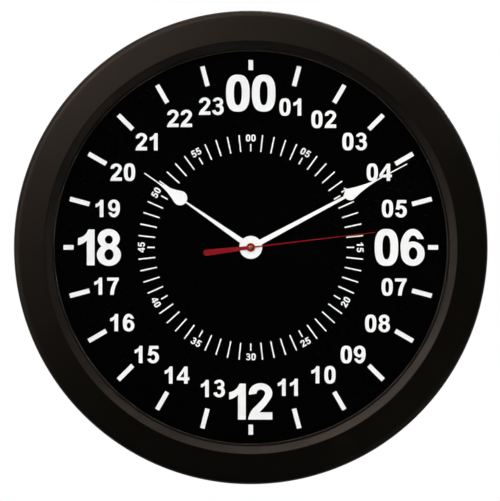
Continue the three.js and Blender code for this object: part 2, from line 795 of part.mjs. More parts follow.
function addTrain(parent) {
  const arborRear = bridgeRear;
  const arborFront = roomFront - runGap;
  const thickness = gearThickness;

  const rotor = join(
    rod(arborRadius, arborRear, coreFront + runGap + pivotBossHeight),
    pinion(teeth.rotorPinion, teeth.intermediateWheel, rotorDistance, rotorAngle + 180,
      intermediatePlane - fitGap, intermediatePlane + thickness + fitGap),
    rod(magnetRadius, (statorRear + statorFront - magnetLength) / 2,
      (statorRear + statorFront + magnetLength) / 2, midSides),
  );
  addPiece(parent, 'rotor', rotor, magnetGrey).position.set(rotorPlace[0], 0, rotorPlace[1]);

  const intermediate = join(
    rod(arborRadius, arborRear, arborFront),
    wheel(teeth.intermediateWheel, teeth.rotorPinion, rotorDistance, rotorAngle,
      intermediatePlane, intermediatePlane + thickness),
    pinion(teeth.intermediatePinion, teeth.secondWheel, trainDistance, intermediateAngle + 180,
      intermediatePlane + thickness - fitGap, secondPlane + thickness + fitGap),
  );
  const [middleX, middleZ] = intermediatePlace;
  addPiece(parent, 'intermediate_wheel', intermediate, whiteGear).position.set(middleX, 0, middleZ);

  const second = join(
    rod(secondArborRadius, arborRear, secondBushFront),
    wheel(teeth.secondWheel, teeth.intermediatePinion, trainDistance, intermediateAngle,
      secondPlane, secondPlane + thickness),
    pinion(teeth.secondPinion, teeth.thirdWheel, trainDistance, thirdWheelAngle,
      secondPlane + thickness - fitGap, thirdPlane + thickness + fitGap),
  );
  addPiece(parent, 'second_wheel', second, whiteGear);

  const third = join(
    rod(arborRadius, arborRear, arborFront),
    wheel(teeth.thirdWheel, teeth.secondPinion, trainDistance, thirdWheelAngle + 180,
      thirdPlane, thirdPlane + thickness),
    pinion(teeth.thirdPinion, teeth.centreWheel, trainDistance, thirdWheelAngle + 180,
      thirdPlane + thickness - fitGap, centrePlane + thickness + fitGap),
  );
  addPiece(parent, 'third_wheel', third, whiteGear).position.set(thirdPlace[0], 0, thirdPlace[1]);

  const centre = join(
    wheel(teeth.centreWheel, teeth.thirdPinion, trainDistance, thirdWheelAngle,
      centrePlane, centrePlane + thickness),
    pinion(teeth.cannonPinion, teeth.minuteWheel, trainDistance, minuteWheelAngle,
      centrePlane + thickness - fitGap, hourPlane - runGap),
    rod(minutePipeRadius, hourPlane - 2 * runGap, minuteBushFront),
  );
  const centreBore = rod(minutePipeBore, 0, lensRear);
  addPiece(parent, 'centre_wheel', cut(centre, centreBore), whiteGear);

  const minuteShaft = join(
    rod(minuteArborRadius, knobRear + knobThickness / 2, arborFront),
    wheel(teeth.minuteWheel, teeth.cannonPinion, trainDistance, minuteWheelAngle + 180,
      minutePlane, minutePlane + thickness),
    pinion(teeth.minutePinion, teeth.hourWheel, trainDistance, minuteWheelAngle + 180,
      minutePlane + thickness - fitGap, hourPlane + thickness + fitGap),
  );
  const [minuteX, minuteZ] = minuteWheelPlace;
  addPiece(parent, 'minute_wheel', minuteShaft, whiteGear).position.set(minuteX, 0, minuteZ);

  const hour = join(
    wheel(teeth.hourWheel, teeth.minutePinion, trainDistance, minuteWheelAngle,
      hourPlane, hourPlane + thickness),
    rod(hourPipeRadius, hourPlane + thickness - fitGap, hourBushFront, midSides),
  );
  addPiece(parent, 'hour_wheel', cut(hour, rod(hourPipeBore, 0, lensRear, midSides)), whiteGear);

  const knob = addPiece(parent, 'setting_knob', knobGeometry(), greyKnob);
  knob.position.set(minuteX, 0, minuteZ);
}

function knobGeometry() {
  const step = 360 / knobFlutes;
  const corners = [];
  for (let i = 0; i < knobFlutes; i += 1) {
    corners.push(polar(knobRadius, i * step));
    corners.push(polar(knobRadius, (i + knobRidgeShare) * step));
    corners.push(polar(knobRadius - knobFluteDepth, (i + knobGrooveShare) * step));
  }
  const outline = outlineOf(corners);
  const socketRear = knobRear + knobThickness / 2 - fitGap;
  const socket = rod(minuteArborRadius + fitGap, socketRear, knobFront + cutOverrun);
  return cut(plate(outline, knobRear, knobFront), socket);
}

// Washers and nut that clamp the movement to the board

function addClamp(parent) {
  const hole = stemRadius + fitGap;
  addPiece(parent, 'rubber_washer', tube(hole, rubberWasherRadius, movementFront, boardRear), blackRubber);
  addPiece(parent, 'brass_washer', tube(hole, brassWasherRadius, dialFront, nutRear), brass);
  const nutRadius = nutAcrossFlats / 2 / Math.cos(Math.PI / nutCorners);
  const nutAngles = Array.from({ length: nutCorners }, (_, i) => (i * 360) / nutCorners);
  const hexagon = outlineOf(nutAngles.map((degrees) => polar(nutRadius, degrees)));
  hexagon.holes.push(roundHole(hole, 0, 0, midSides));
  addPiece(parent, 'hex_nut', plate(hexagon, nutRear, nutFront), brass);
}

// Hands, drawn pointing up and turned clockwise to the time on the dial

function leafOutline(hand) {
  const { length, rootWidth, neckWidth, bulbCentre, bulbRadius, needleStart, needleWidth } = hand;
  const taper = THREE.MathUtils.degToRad(hand.taperAngle);
  const root = rootWidth / 2;
  const neck = neckWidth / 2;
  const needle = needleWidth / 2;
  const rootHeight = Math.sqrt(handHubRadius ** 2 - root ** 2);
  const neckAngle = Math.acos(neck / bulbRadius);
  const leave = [bulbRadius * Math.cos(taper), bulbCentre + bulbRadius * Math.sin(taper)];
  const bendHalf = needleBendShare * needle;
  const bendRise = (leave[0] - bendHalf) / Math.tan(taper);
  const bend = [bendHalf, Math.min(leave[1] + bendRise, (leave[1] + needleStart) / 2)];
  const shape = new THREE.Shape();
  shape.moveTo(root, rootHeight);
  shape.lineTo(neck, bulbCentre - bulbRadius * Math.sin(neckAngle));
  shape.absarc(0, bulbCentre, bulbRadius, -neckAngle, taper);
  shape.quadraticCurveTo(bend[0], bend[1], needle, needleStart);
  shape.lineTo(needle, length);
  shape.lineTo(-needle, length);
  shape.lineTo(-needle, needleStart);
  shape.quadraticCurveTo(-bend[0], bend[1], -leave[0], leave[1]);
  shape.absarc(0, bulbCentre, bulbRadius, Math.PI - taper, Math.PI + neckAngle);
  shape.lineTo(-root, rootHeight);
  const rootAngle = Math.acos(root / handHubRadius);
  shape.absarc(0, 0, handHubRadius, Math.PI - rootAngle, Math.PI * 2 + rootAngle);
  return shape;
}

function sweepOutline() {
  const { length, rootWidth, tipWidth, tailLength, tailRootWidth, tailEndWidth } = secondHand;
  const rootAngle = Math.acos(rootWidth / 2 / secondBossRadius);
  const tailAngle = Math.acos(tailRootWidth / 2 / secondBossRadius);
  const tailEnd = tailEndWidth / 2;
  const shape = new THREE.Shape();
  shape.moveTo(tipWidth / 2, length);
  shape.lineTo(-tipWidth / 2, length);
  shape.absarc(0, 0, secondBossRadius, Math.PI - rootAngle, Math.PI + tailAngle);
  shape.absarc(0, tailEnd - tailLength, tailEnd, Math.PI, Math.PI * 2);
  shape.absarc(0, 0, secondBossRadius, -tailAngle, rootAngle);
  return shape;
}

function bushGeometry(bore, wall, rear, sides) {
  const radius = bore + wall;
  const flange = radius + bushFlangeWidth;
  const seat = rear + bushFlangeThickness;
  return turned([
    [bore, rear],
    [flange, rear],
    [flange, seat],
    [radius, seat],
    [radius, seat + handThickness + bushProud],
    [bore, seat + handThickness + bushProud],
  ], sides);
}

function addHand(parent, { name, outline, angle, shaft, wall, rear, finish }) {
  const arm = new THREE.Group();
  arm.rotation.y = THREE.MathUtils.degToRad(angle);
  parent.add(arm);
  const bore = shaft + fitGap;
  const seat = rear + bushFlangeThickness;
  outline.holes.push(roundHole(bore + wall + fitGap, 0, 0, midSides));
  addPiece(arm, name, plate(outline, seat, seat + handThickness), finish);
  addPiece(arm, `${name}_bush`, bushGeometry(bore, wall, rear, midSides), brass);
}

function addHands(parent) {
  addHand(parent, {
    name: 'hour_hand',
    outline: leafOutline(hourHand),
    angle: hourHandAngle,
    shaft: hourPipeRadius,
    wall: bushWall,
    rear: hourBushRear,
    finish: whitePaint,
  });
  addHand(parent, {
    name: 'minute_hand',
    outline: leafOutline(minuteHand),
    angle: minuteHandAngle,
    shaft: minutePipeRadius,
    wall: bushWall,
    rear: minuteBushRear,
    finish: whitePaint,
  });
  addHand(parent, {
    name: 'second_hand',
    outline: sweepOutline(),
    angle: secondHandAngle,
    shaft: secondArborRadius,
    wall: secondBushWall,
    rear: secondBushRear,
    finish: redPaint,
  });
}

const clock = new THREE.Group();
const caseGroup = new THREE.Group();
const movementGroup = new THREE.Group();
const handGroup = new THREE.Group();
clock.add(caseGroup, movementGroup, handGroup);
addCase(caseGroup);
addMovementFrame(movementGroup);
addBattery(movementGroup);
addTrain(movementGroup);
addClamp(movementGroup);
addHands(handGroup);

export default clock;
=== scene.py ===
"""Looks of a twenty-four hour wall clock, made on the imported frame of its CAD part.

The clock faces -Y with its rear rim on the wall plane y = 0, and a depth is a distance in front of that wall.
"""

import math

import bmesh
import bpy
from bpy.props import FloatProperty, FloatVectorProperty, IntProperty, PointerProperty
from bpy.types import Operator, Panel, PropertyGroup
from mathutils import Matrix, Vector
from mathutils.geometry import delaunay_2d_cdt, tessellate_polygon


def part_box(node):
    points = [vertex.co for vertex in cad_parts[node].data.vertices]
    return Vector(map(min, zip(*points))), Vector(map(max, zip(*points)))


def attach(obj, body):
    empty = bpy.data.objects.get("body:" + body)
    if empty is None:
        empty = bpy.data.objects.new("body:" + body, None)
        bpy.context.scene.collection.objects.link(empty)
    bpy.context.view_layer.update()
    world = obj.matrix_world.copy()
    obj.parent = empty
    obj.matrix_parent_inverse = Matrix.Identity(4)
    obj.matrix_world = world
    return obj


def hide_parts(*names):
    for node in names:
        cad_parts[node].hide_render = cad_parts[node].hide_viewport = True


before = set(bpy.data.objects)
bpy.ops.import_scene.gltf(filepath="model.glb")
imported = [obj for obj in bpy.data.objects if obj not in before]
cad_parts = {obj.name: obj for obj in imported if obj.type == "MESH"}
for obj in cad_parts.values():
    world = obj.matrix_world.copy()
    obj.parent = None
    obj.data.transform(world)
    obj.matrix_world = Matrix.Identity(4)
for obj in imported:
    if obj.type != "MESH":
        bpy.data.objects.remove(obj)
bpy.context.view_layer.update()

bl_info = {
    "name": "Twenty-four hour wall clock",
    "version": (1, 0, 0),
    "blender": (4, 5, 0),
    "location": "3D View > Sidebar > Clock",
    "description": "Builds the case, dial print, hands and finishes of a wall clock on its CAD frame",
    "category": "Object",
}

MM = 0.001
WHITE = (1.0, 1.0, 1.0)
BACK_SCREWS = [f"back_screw_{index}" for index in range(1, 7)]
HANGER_SCREWS = ["hanger_screw_1", "hanger_screw_2"]


# Places that come from the frame


def depths(node):
    """Rear and front of a CAD node, as depths in front of the wall."""
    low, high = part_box(node)
    return -high.y, -low.y


def half_width(node):
    """Half a CAD node's width, which is the radius of a round one."""
    low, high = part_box(node)
    return (high.x - low.x) / 2


def centre(node):
    """Middle of a CAD node, seen from the front."""
    low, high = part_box(node)
    return (low.x + high.x) / 2, (low.z + high.z) / 2


# Sizes and colours


def length(name, description, default):
    return FloatProperty(
        name=name, description=description, default=default, subtype="DISTANCE", unit="LENGTH")


def angle(name, description, degrees):
    value = math.radians(degrees)
    return FloatProperty(name=name, description=description, default=value, subtype="ANGLE", unit="ROTATION")


def colour(name, description, default):
    return FloatVectorProperty(
        name=name, description=description, default=default, subtype="COLOR", min=0, max=1)


def share(name, description, default):
    return FloatProperty(name=name, description=description, default=default, subtype="FACTOR", min=0, max=1)


def count(name, description, default):
    return IntProperty(name=name, description=description, default=default, min=1)


def wattage(name, description, watts):
    return FloatProperty(name=name, description=description, default=watts, unit="POWER")


def ratio(name, description, default):
    return FloatProperty(name=name, description=description, default=default)


class CaseSizes(PropertyGroup):
    """Sizes of the case and of what closes its back."""

    rim_round: length("Rim round-over", "Width of the rounded outer edge", 5.6 * MM)
    cone_width: length("Cone width", "Width of the conical face", 17.6 * MM)
    crest_width: length("Crest width", "Width of the crest between cone and flare", 1.0 * MM)
    flare_width: length("Flare width", "Width of the flare inside the crest", 4.8 * MM)
    flare_depth: length("Flare depth", "Drop from the crest to the lip", 6.2 * MM)
    cone_drop: length("Cone drop", "Drop of the conical face", 8.0 * MM)
    rim_drop: length("Rim drop", "Drop of the rounded outer edge", 8.6 * MM)
    crest_inner_round: length("Crest inner round", "Rounding between crest and flare", 0.9 * MM)
    crest_round: length("Crest round", "Rounding on top of the crest", 0.6 * MM)
    crest_outer_round: length("Crest outer round", "Rounding between crest and cone", 1.4 * MM)
    foot_chamfer: length("Foot chamfer", "Chamfer of the edge on the wall", 1.0 * MM)
    foot_round: length("Foot round", "Rounding above that chamfer", 0.5 * MM)
    inside_round: length("Inside round", "Rounding inside the shell", 1.5 * MM)
    root_round: length("Root round", "Rounding at the root of a ring or rim", 0.8 * MM)
    fine_round: length("Fine round", "Rounding of the fine edges", 0.3 * MM)
    wall: length("Wall", "Thickness of the moulded shell", 3.2 * MM)
    seat_wall: length("Seat wall", "Thickness of the ring round the lens", 2.2 * MM)
    seat_drop: length("Seat drop", "Reach of that ring behind the lens", 3.0 * MM)
    seat_gap: length("Seat gap", "Side gap round the lens", 0.4 * MM)
    boss_radius: length("Boss radius", "Radius of the screw bosses", 4.2 * MM)
    pilot_gap: length("Pilot gap", "Gap round the screw shanks in the bosses", 0.15 * MM)
    lens_round: length("Lens round", "Rounding of the lens's ground edges", 0.25 * MM)
    dial_round: length("Dial round", "Rounding of the dial's cut edge", 0.06 * MM)
    dial_hole: share("Dial hole", "Radius of the dial's hole over the brass washer's", 0.52)
    spacer_wall: length("Spacer wall", "Wall of the spacer ring", 3.4 * MM)
    spacer_foot: length("Spacer foot", "Thickness of the spacer ring's foot", 1.6 * MM)
    spacer_show: length("Spacer show", "How far the spacer shows inside the lip", 1.5 * MM)
    spacer_round: length("Spacer round", "Rounding of the spacer's edge that shows", 0.5 * MM)
    board_sheet: length("Board sheet", "Thickness of the back board", 2.5 * MM)
    board_rim: length("Board rim", "Width of the board's rim", 2.4 * MM)
    board_rim_height: length("Board rim height", "Height of the board's rim", 3.2 * MM)
    board_rim_round: length("Board rim round", "Rounding of the board's rim", 0.6 * MM)
    board_hole: share("Board hole", "Radius of the board's hole over the board's", 0.0247)
    root_sink: length("Root sink", "How far ribs and frame are sunk into the sheet", 0.2 * MM)
    rib_thickness: length("Rib thickness", "Thickness of the board's ribs", 1.8 * MM)
    rib_height: length("Rib height", "Height of the board's ribs", 4.0 * MM)
    rib_count: count("Ribs", "Number of ribs on the board", 6)
    frame_wall: length("Frame wall", "Wall of the frame round the movement", 2.0 * MM)
    frame_height: length("Frame height", "Height of that frame", 5.0 * MM)
    frame_gap: length("Frame gap", "Gap between that frame and the movement", 0.4 * MM)
    movement_corner: length("Movement corner", "Corner radius of the movement", 3.0 * MM)
    hanger_corner: length("Hanger corner", "Corner radius of the hanger plate", 4.5 * MM)
    hanger_hole: length("Hanger hole", "Radius of the hanger's screw holes", 1.75 * MM)
    hanger_bevel: length("Hanger bevel", "Rounding of the hanger's stamped edges", 0.18 * MM)
    keyhole_radius: length("Keyhole radius", "Radius of the keyhole's entry", 4.6 * MM)
    keyhole_slot: length("Keyhole slot", "Width of the keyhole's slot", 5.2 * MM)
    keyhole_rise: length("Keyhole rise", "Rise of the slot over the entry's middle", 8.4 * MM)
    keyhole_drop: length("Keyhole drop", "Entry's middle under the plate's middle", 2.5 * MM)
    screw_head: length("Screw head", "Height of the screw heads", 2.2 * MM)
    shank_radius: length("Shank radius", "Radius of the screw shanks", 1.45 * MM)
    thread_pitch: length("Thread pitch", "Step of the screws' thread", 0.8 * MM)
    recess_depth: length("Recess depth", "Depth of the cross recess", 1.3 * MM)
    clamp_hole: length("Clamp hole", "Radius of the holes of washers and nut", 4.15 * MM)
    nut_bevel: length("Nut bevel", "Rounding of the nut's edges", 0.3 * MM)


class HandSizes(PropertyGroup):
    """Sizes and places of the three hands."""

    hub_radius: length("Hub radius", "Radius of the hour and minute hubs", 8.6 * MM)
    hour_turn: angle("Hour hand turn", "Where the hour hand points, clockwise", 304.9)
    hour_length: length("Hour hand length", "Axis to tip", 97.5 * MM)
    hour_bulb: length("Hour bulb", "Axis to the middle of the bulb", 64.7 * MM)
    hour_bulb_radius: length("Hour bulb radius", "Radius of the bulb", 5.4 * MM)
    hour_root: length("Hour root", "Width at the hub", 3.9 * MM)
    hour_neck: length("Hour neck", "Width below the bulb", 1.2 * MM)
    hour_needle: length("Hour needle", "Axis to the start of the needle", 85.5 * MM)
    hour_needle_width: length("Hour needle width", "Width of the needle", 0.85 * MM)
    hour_taper: angle("Hour taper", "Slope of the leaf above the bulb", 23)
    minute_turn: angle("Minute hand turn", "Where the minute hand points, clockwise", 61.9)
    minute_length: length("Minute hand length", "Axis to tip", 133.1 * MM)
    minute_bulb: length("Minute bulb", "Axis to the middle of the bulb", 84.5 * MM)
    minute_bulb_radius: length("Minute bulb radius", "Radius of the bulb", 4.45 * MM)
    minute_root: length("Minute root", "Width at the hub", 3.9 * MM)
    minute_neck: length("Minute neck", "Width below the bulb", 2.05 * MM)
    minute_needle: length("Minute needle", "Axis to the start of the needle", 110.0 * MM)
    minute_needle_width: length("Minute needle width", "Width of the needle", 0.8 * MM)
    minute_taper: angle("Minute taper", "Slope of the leaf above the bulb", 15)
    second_turn: angle("Second hand turn", "Where the second hand points, clockwise", 83.1)
    second_length: length("Second hand length", "Axis to tip", 94.1 * MM)
    second_root: length("Second root", "Width at the boss", 1.0 * MM)
    second_tip: length("Second tip", "Width at the tip", 0.5 * MM)
    second_tail: length("Second tail", "Axis to the end of the tail", 35.8 * MM)
    second_tail_root: length("Tail root", "Width of the tail at the boss", 2.5 * MM)
    second_tail_end: length("Tail end", "Width of the tail's round end", 4.8 * MM)
    second_boss: length("Second boss", "Radius of the second hand's boss", 3.2 * MM)
    bevel: length("Edge round", "Rounding of the stamped edges", 0.12 * MM)
    hour_bore: length("Hour bore", "Bore of the hour hand's bush", 2.85 * MM)
    minute_bore: length("Minute bore", "Bore of the minute hand's bush", 1.7 * MM)
    flange_width: length("Flange width", "How far the bushes' flanges stand out", 1.6 * MM)
    flange_height: length("Flange height", "Thickness of the bushes' flanges", 0.6 * MM)
    bush_gap: length("Bush gap", "Gap between a bush and its blade", 0.05 * MM)


class MovementSizes(PropertyGroup):
    """Sizes of the movement's cover, the setting knob and the cell."""

    arbor_hole: length("Arbor hole", "Radius of the hole for the knob's arbor", 0.9 * MM)
    cover_round: length("Cover round", "Rounding of the cover's edges", 0.3 * MM)
    sign_arm: length("Sign arm", "Half the length of the signs' strokes", 1.5 * MM)
    sign_half: length("Sign half", "Half the width of the signs' strokes", 0.3 * MM)
    sign_rise: length("Sign rise", "Height of signs and ring over the cover", 0.25 * MM)
    sign_sink: length("Sign sink", "How far they are sunk into the cover", 0.1 * MM)
    sign_inset: length("Sign inset", "From the cover's sides to the signs", 5.0 * MM)
    sign_foot: length("Sign foot", "From the cover's lower edge to the signs", 3.2 * MM)
    ring_inner: length("Ring inner", "Inner radius of the ring round the knob", 7.2 * MM)
    ring_outer: length("Ring outer", "Outer radius of that ring", 8.0 * MM)
    flutes: count("Flutes", "Number of flutes round the knob", 18)
    flute_depth: length("Flute depth", "Depth of the flutes", 0.5 * MM)
    knob_bevel: length("Knob bevel", "Rounding of the knob's edges", 0.25 * MM)
    dish: share("Dish", "Dished part of the knob's face, by its radius", 0.66)
    cell_band: length("Cell band", "Length of the pale band with the nub", 13.0 * MM)
    cell_nub: length("Cell nub", "Length of the bare end with the nub", 2.2 * MM)
    cell_crimp: length("Cell crimp", "Length of the bare flat end", 1.0 * MM)


class PrintSizes(PropertyGroup):
    """Sizes of the print on the dial."""

    ink: length("Ink", "Height of the print over the dial", 0.05 * MM)
    numeral_height: length("Numeral height", "Height of the hour numerals", 12.9 * MM)
    numeral_circle: length("Numeral circle", "Radius of the hour numerals' circle", 111.6 * MM)
    tucked_circle: length("Tucked circle", "Radius for the numerals beside 00 and 12", 109.9 * MM)
    quarter_height: length("Quarter height", "Height of 00, 06, 12 and 18", 27.0 * MM)
    upright_circle: length("Upright circle", "Radius for 00 and 12", 116.0 * MM)
    level_circle: length("Level circle", "Radius for 06 and 18", 113.0 * MM)
    mark_inner: length("Mark start", "Inner radius of the hour marks", 125.6 * MM)
    mark_outer: length("Mark end", "Outer radius of the hour marks", 140.9 * MM)
    quarter_inner: length("Quarter start", "Inner radius of the marks at the quarters", 133.3 * MM)
    mark_width: length("Mark width", "Width of the hour marks", 3.45 * MM)
    track_inner: length("Track start", "Inner radius of the minute track", 72.2 * MM)
    track_outer: length("Track end", "Outer radius of the minute track", 84.9 * MM)
    track_short: length("Short end", "Outer radius of the strokes under a label", 77.8 * MM)
    track_width: length("Track width", "Width of the minute strokes", 1.0 * MM)
    numeral_pitch: ratio("Numeral pitch", "Step between figures over their height", 0.785)
    eleven_tuck: ratio("Eleven tuck", "How much closer the figures of 11 stand", 0.075)
    quarter_gap: ratio("Quarter gap", "Gap between the large figures over their height", 0.065)
    label_height: length("Label height", "Height of the minute labels", 5.15 * MM)
    label_circle: length("Label circle", "Radius of the minute labels", 82.3 * MM)
    label_pitch: ratio("Label pitch", "Step between the labels' figures over their height", 0.777)


class Colours(PropertyGroup):
    """Colours of the finishes."""

    case: colour("Case", "Moulded case", (0.0030, 0.0028, 0.0020))
    gleam: colour("Case gleam", "Warm tone of the case's gloss", (1.0, 0.78, 0.68))
    board: colour("Board", "Moulded back board", (0.0190, 0.0190, 0.0200))
    movement: colour("Movement", "Moulded movement case", (0.0150, 0.0150, 0.0160))
    dial: colour("Dial", "Dial paint", (0.0005, 0.0005, 0.0005))
    ink: colour("Print", "Dial print", (0.93, 0.93, 0.925))
    hand: colour("Hands", "Paint of the hour and minute hands", (0.94, 0.94, 0.935))
    second: colour("Second hand", "Paint of the second hand", (0.195, 0.0042, 0.0072))
    brass: colour("Brass", "Bushes, washer and nut", (0.56, 0.36, 0.12))
    zinc: colour("Zinc", "Plated hanger, screws and contacts", (0.50, 0.51, 0.53))
    steel: colour("Motor steel", "Stator and coil core", (0.33, 0.34, 0.36))
    magnet: colour("Magnet", "Rotor", (0.075, 0.076, 0.084))
    copper: colour("Copper", "Coil winding", (0.45, 0.13, 0.035))
    circuit: colour("Circuit", "Circuit board", (0.014, 0.102, 0.034))
    gear: colour("Wheels", "Moulded wheels", (0.79, 0.77, 0.72))
    rubber: colour("Rubber", "Washer under the board", (0.0062, 0.0062, 0.0062))
    jacket: colour("Cell jacket", "Wrap of the battery", (0.045, 0.075, 0.115))
    jacket_band: colour("Cell band", "Band at the battery's positive end", (0.42, 0.43, 0.44))
    cell_end: colour("Cell ends", "Bare metal of the battery", (0.55, 0.55, 0.54))
    knob: colour("Knob", "Setting knob", (0.27, 0.28, 0.29))
    lens: colour("Lens", "Clear lens", (0.985, 0.995, 0.99))
    chip: colour("Worn white", "Worn edges of the white paint", (0.5, 0.5, 0.5))
    red_chip: colour("Worn red", "Worn edges of the red paint", (0.3, 0.05, 0.05))
    dust: colour("Dust", "Dust on what faces up", (0.16, 0.15, 0.14))
    floor: colour("Floor", "Studio floor", (0.42, 0.42, 0.42))


class StageSizes(PropertyGroup):
    """Camera, floor, lamps and room."""

    camera_reach: length("Camera reach", "Camera's distance from the wall plane", 2.5)
    focal_length: FloatProperty(
        name="Focal length", description="Lens of the camera", default=237.0, unit="CAMERA")
    shift_x: ratio("Shift X", "Sideways framing", -0.00156)
    shift_y: ratio("Shift Y", "Upright framing", -0.00624)
    floor_drop: length("Floor drop", "Floor under the clock's middle", 1.6)
    floor_half: length("Floor reach", "Half the floor's side", 10.0)
    floor_glow: share("Floor glow", "White that the floor shows to the camera over its own light", 0.8)
    front_power: wattage("Front", "Power of each front lamp", 33.0)
    key_power: wattage("Key", "Power of the lamp at the upper left", 8.0)
    top_power: wattage("Top", "Power of the lamp above", 5.6)
    side_power: wattage("Side", "Power of the lamp at the left", 1.4)
    low_power: wattage("Low", "Power of the lamp at the lower right", 0.5)
    back_power: wattage("Back", "Power of the lamp behind", 42.0)
    lamp_tint: colour("Lamp tone", "Warm tone of the lamps round the case", (1.0, 0.94, 0.88))
    ambient: share("Ambient", "Light of the room on the clock", 0.16)
    room_front: share("Room front", "White that gloss shows of the room's front", 0.004)
    room_start: ratio("Room start", "Direction to the back where the room's white starts", 0.55)
    room_full: ratio("Room full", "Direction to the back where the room is all white", 0.95)


# Mesh forms: profiles hold (radius, depth), outlines hold (x, z) seen from the front

NOUGHT = 1e-7  # lengths under this count as none
STRAIGHT = 0.02  # corners that turn by less, in radians, stay as they are
SIDE_SHARE = 0.45  # most of a side that one rounded corner may take
MITRE_LIMIT = 0.35  # keeps the inset of a sharp corner short
MERGE_REACH = 1e-4  # points of overlapping outlines closer than this are one


def curve_point(start, control, end, t):
    """A point of the curve from start to end that leans to its control point."""
    return tuple(start * (1 - t) ** 2 + control * 2 * t * (1 - t) + end * t * t)


def rounded(points, radius, steps=3):
    """Rounds the corners of a closed line; a third number in a point is that corner's own radius."""
    line = []
    for index, point in enumerate(points):
        before = Vector(points[index - 1][:2])
        here = Vector(point[:2])
        after = Vector(points[(index + 1) % len(points)][:2])
        own = point[2] if len(point) > 2 else radius
        to_before, to_after = before - here, after - here
        turn = math.pi - to_before.angle(to_after)
        if own <= 0 or turn < STRAIGHT:
            line.append(tuple(here))
            continue
        reach = min(to_before.length, to_after.length) * SIDE_SHARE
        cut = min(own * math.tan(turn / 2), reach)
        start = here + to_before.normalized() * cut
        end = here + to_after.normalized() * cut
        line += [curve_point(start, here, end, step / steps) for step in range(steps + 1)]
    return line


def bend(start, control, end, steps=10):
    """Points of a curve from start to end that leans to its control point, without the end."""
    ends = Vector(start), Vector(control), Vector(end)
    return [curve_point(*ends, step / steps) for step in range(steps)]


def oval(place, half, start=0, end=360, steps=40, power=2.0):
    """Points round an oval, by degrees; a power over two makes it squarer."""
    closed = abs(end - start) >= 360
    points = []
    for step in range(steps if closed else steps + 1):
        turn = math.radians(start + (end - start) * step / steps)
        across = math.copysign(abs(math.cos(turn)) ** (2 / power), math.cos(turn))
        upright = math.copysign(abs(math.sin(turn)) ** (2 / power), math.sin(turn))
        points.append((place[0] + half[0] * across, place[1] + half[1] * upright))
    return points


def rectangle(left, right, low, high, corner=0.0, steps=6):
    return rounded([(left, low), (right, low), (right, high), (left, high)], corner, steps)


def plus(arm, half):
    """Outline of an upright cross."""
    return [(-half, -arm), (half, -arm), (half, -half), (arm, -half), (arm, half), (half, half),
            (half, arm), (-half, arm), (-half, half), (-arm, half), (-arm, -half), (-half, -half)]


def moved(points, place):
    return [(x + place[0], z + place[1]) for x, z in points]


def signed_area(points):
    """Area of an outline, above nought where it runs anticlockwise."""
    return sum(here.cross(after) for here, after in zip(points, points[1:] + points[:1])) / 2


def turned(form, profile, steps, place=(0.0, 0.0)):
    """Adds a closed solid, turned about an axis that runs from back to front; its flat faces stay flat."""
    rings = []
    for radius, depth in profile:
        turns = [math.tau * step / steps for step in range(steps)] if radius > NOUGHT else [0.0]
        rings.append([
            form.verts.new((place[0] + radius * math.sin(turn), -depth, place[1] + radius * math.cos(turn)))
            for turn in turns
        ])
    for first, second in zip(rings, rings[1:] + rings[:1]):
        curved = abs(first[0].co.y - second[0].co.y) > NOUGHT
        for step in range(steps):
            after = (step + 1) % steps
            corners = [first[step % len(first)], first[after % len(first)],
                       second[after % len(second)], second[step % len(second)]]
            corners = list(dict.fromkeys(corners))
            if len(corners) > 2:
                form.faces.new(corners).smooth = curved


def stamped(form, outline, holes, rear, front, bevel, steps=3):
    """Adds a closed plate with rounded edges, from an outline and its holes."""
    loops = []
    for index, loop in enumerate([outline, *holes]):
        points = [Vector(point) for point in loop]
        if (signed_area(points) > 0) == (index > 0):
            points.reverse()
        loops.append(points)
    arcs = [math.pi / 2 * step / steps for step in range(steps + 1)]
    sections = [(bevel * (1 - math.sin(arc)), rear + bevel * (1 - math.cos(arc))) for arc in arcs]
    sections += [(inset, front + rear - depth) for inset, depth in reversed(sections)]
    layers = []
    for inset, depth in sections:
        layer = []
        for points in loops:
            ring = []
            for before, here, after in zip(points[-1:] + points[:-1], points, points[1:] + points[:1]):
                one, two = (here - before).normalized(), (after - here).normalized()
                one, two = Vector((-one.y, one.x)), Vector((-two.y, two.x))
                place = here + (one + two) * (inset / max(1 + one.dot(two), MITRE_LIMIT))
                ring.append(form.verts.new((place.x, -depth, place.y)))
            layer.append(ring)
        layers.append(layer)
    for first, second in zip(layers, layers[1:]):
        for lower, upper in zip(first, second):
            for step in range(len(lower)):
                after = (step + 1) % len(lower)
                form.faces.new((lower[step], lower[after], upper[after], upper[step])).smooth = True
    for layer in (layers[0], layers[-1]):
        corners = [corner for ring in layer for corner in ring]
        flat = [[Vector((corner.co.x, corner.co.z, 0)) for corner in ring] for ring in layer]
        for triangle in tessellate_polygon(flat):
            form.faces.new([corners[index] for index in triangle])


def flat_shape(solids, cuts):
    """Joins overlapping outlines, less the cut ones, into points, triangles and border edges."""
    points, faces = [], []
    for loop in [*solids, *cuts]:
        around = [Vector(point) for point in loop]
        if signed_area(around) < 0:
            around.reverse()
        faces.append(list(range(len(points), len(points) + len(around))))
        points += around
    points, _, triangles, _, _, sources = delaunay_2d_cdt(points, [], faces, 0, MERGE_REACH)
    kept = [triangle for triangle, source in zip(triangles, sources)
            if source and max(source) < len(solids)]
    edges = [(a, b) for triangle in kept for a, b in zip(triangle, triangle[1:] + triangle[:1])]
    border = [edge for edge in edges if edge[::-1] not in set(edges)]
    return points, kept, border


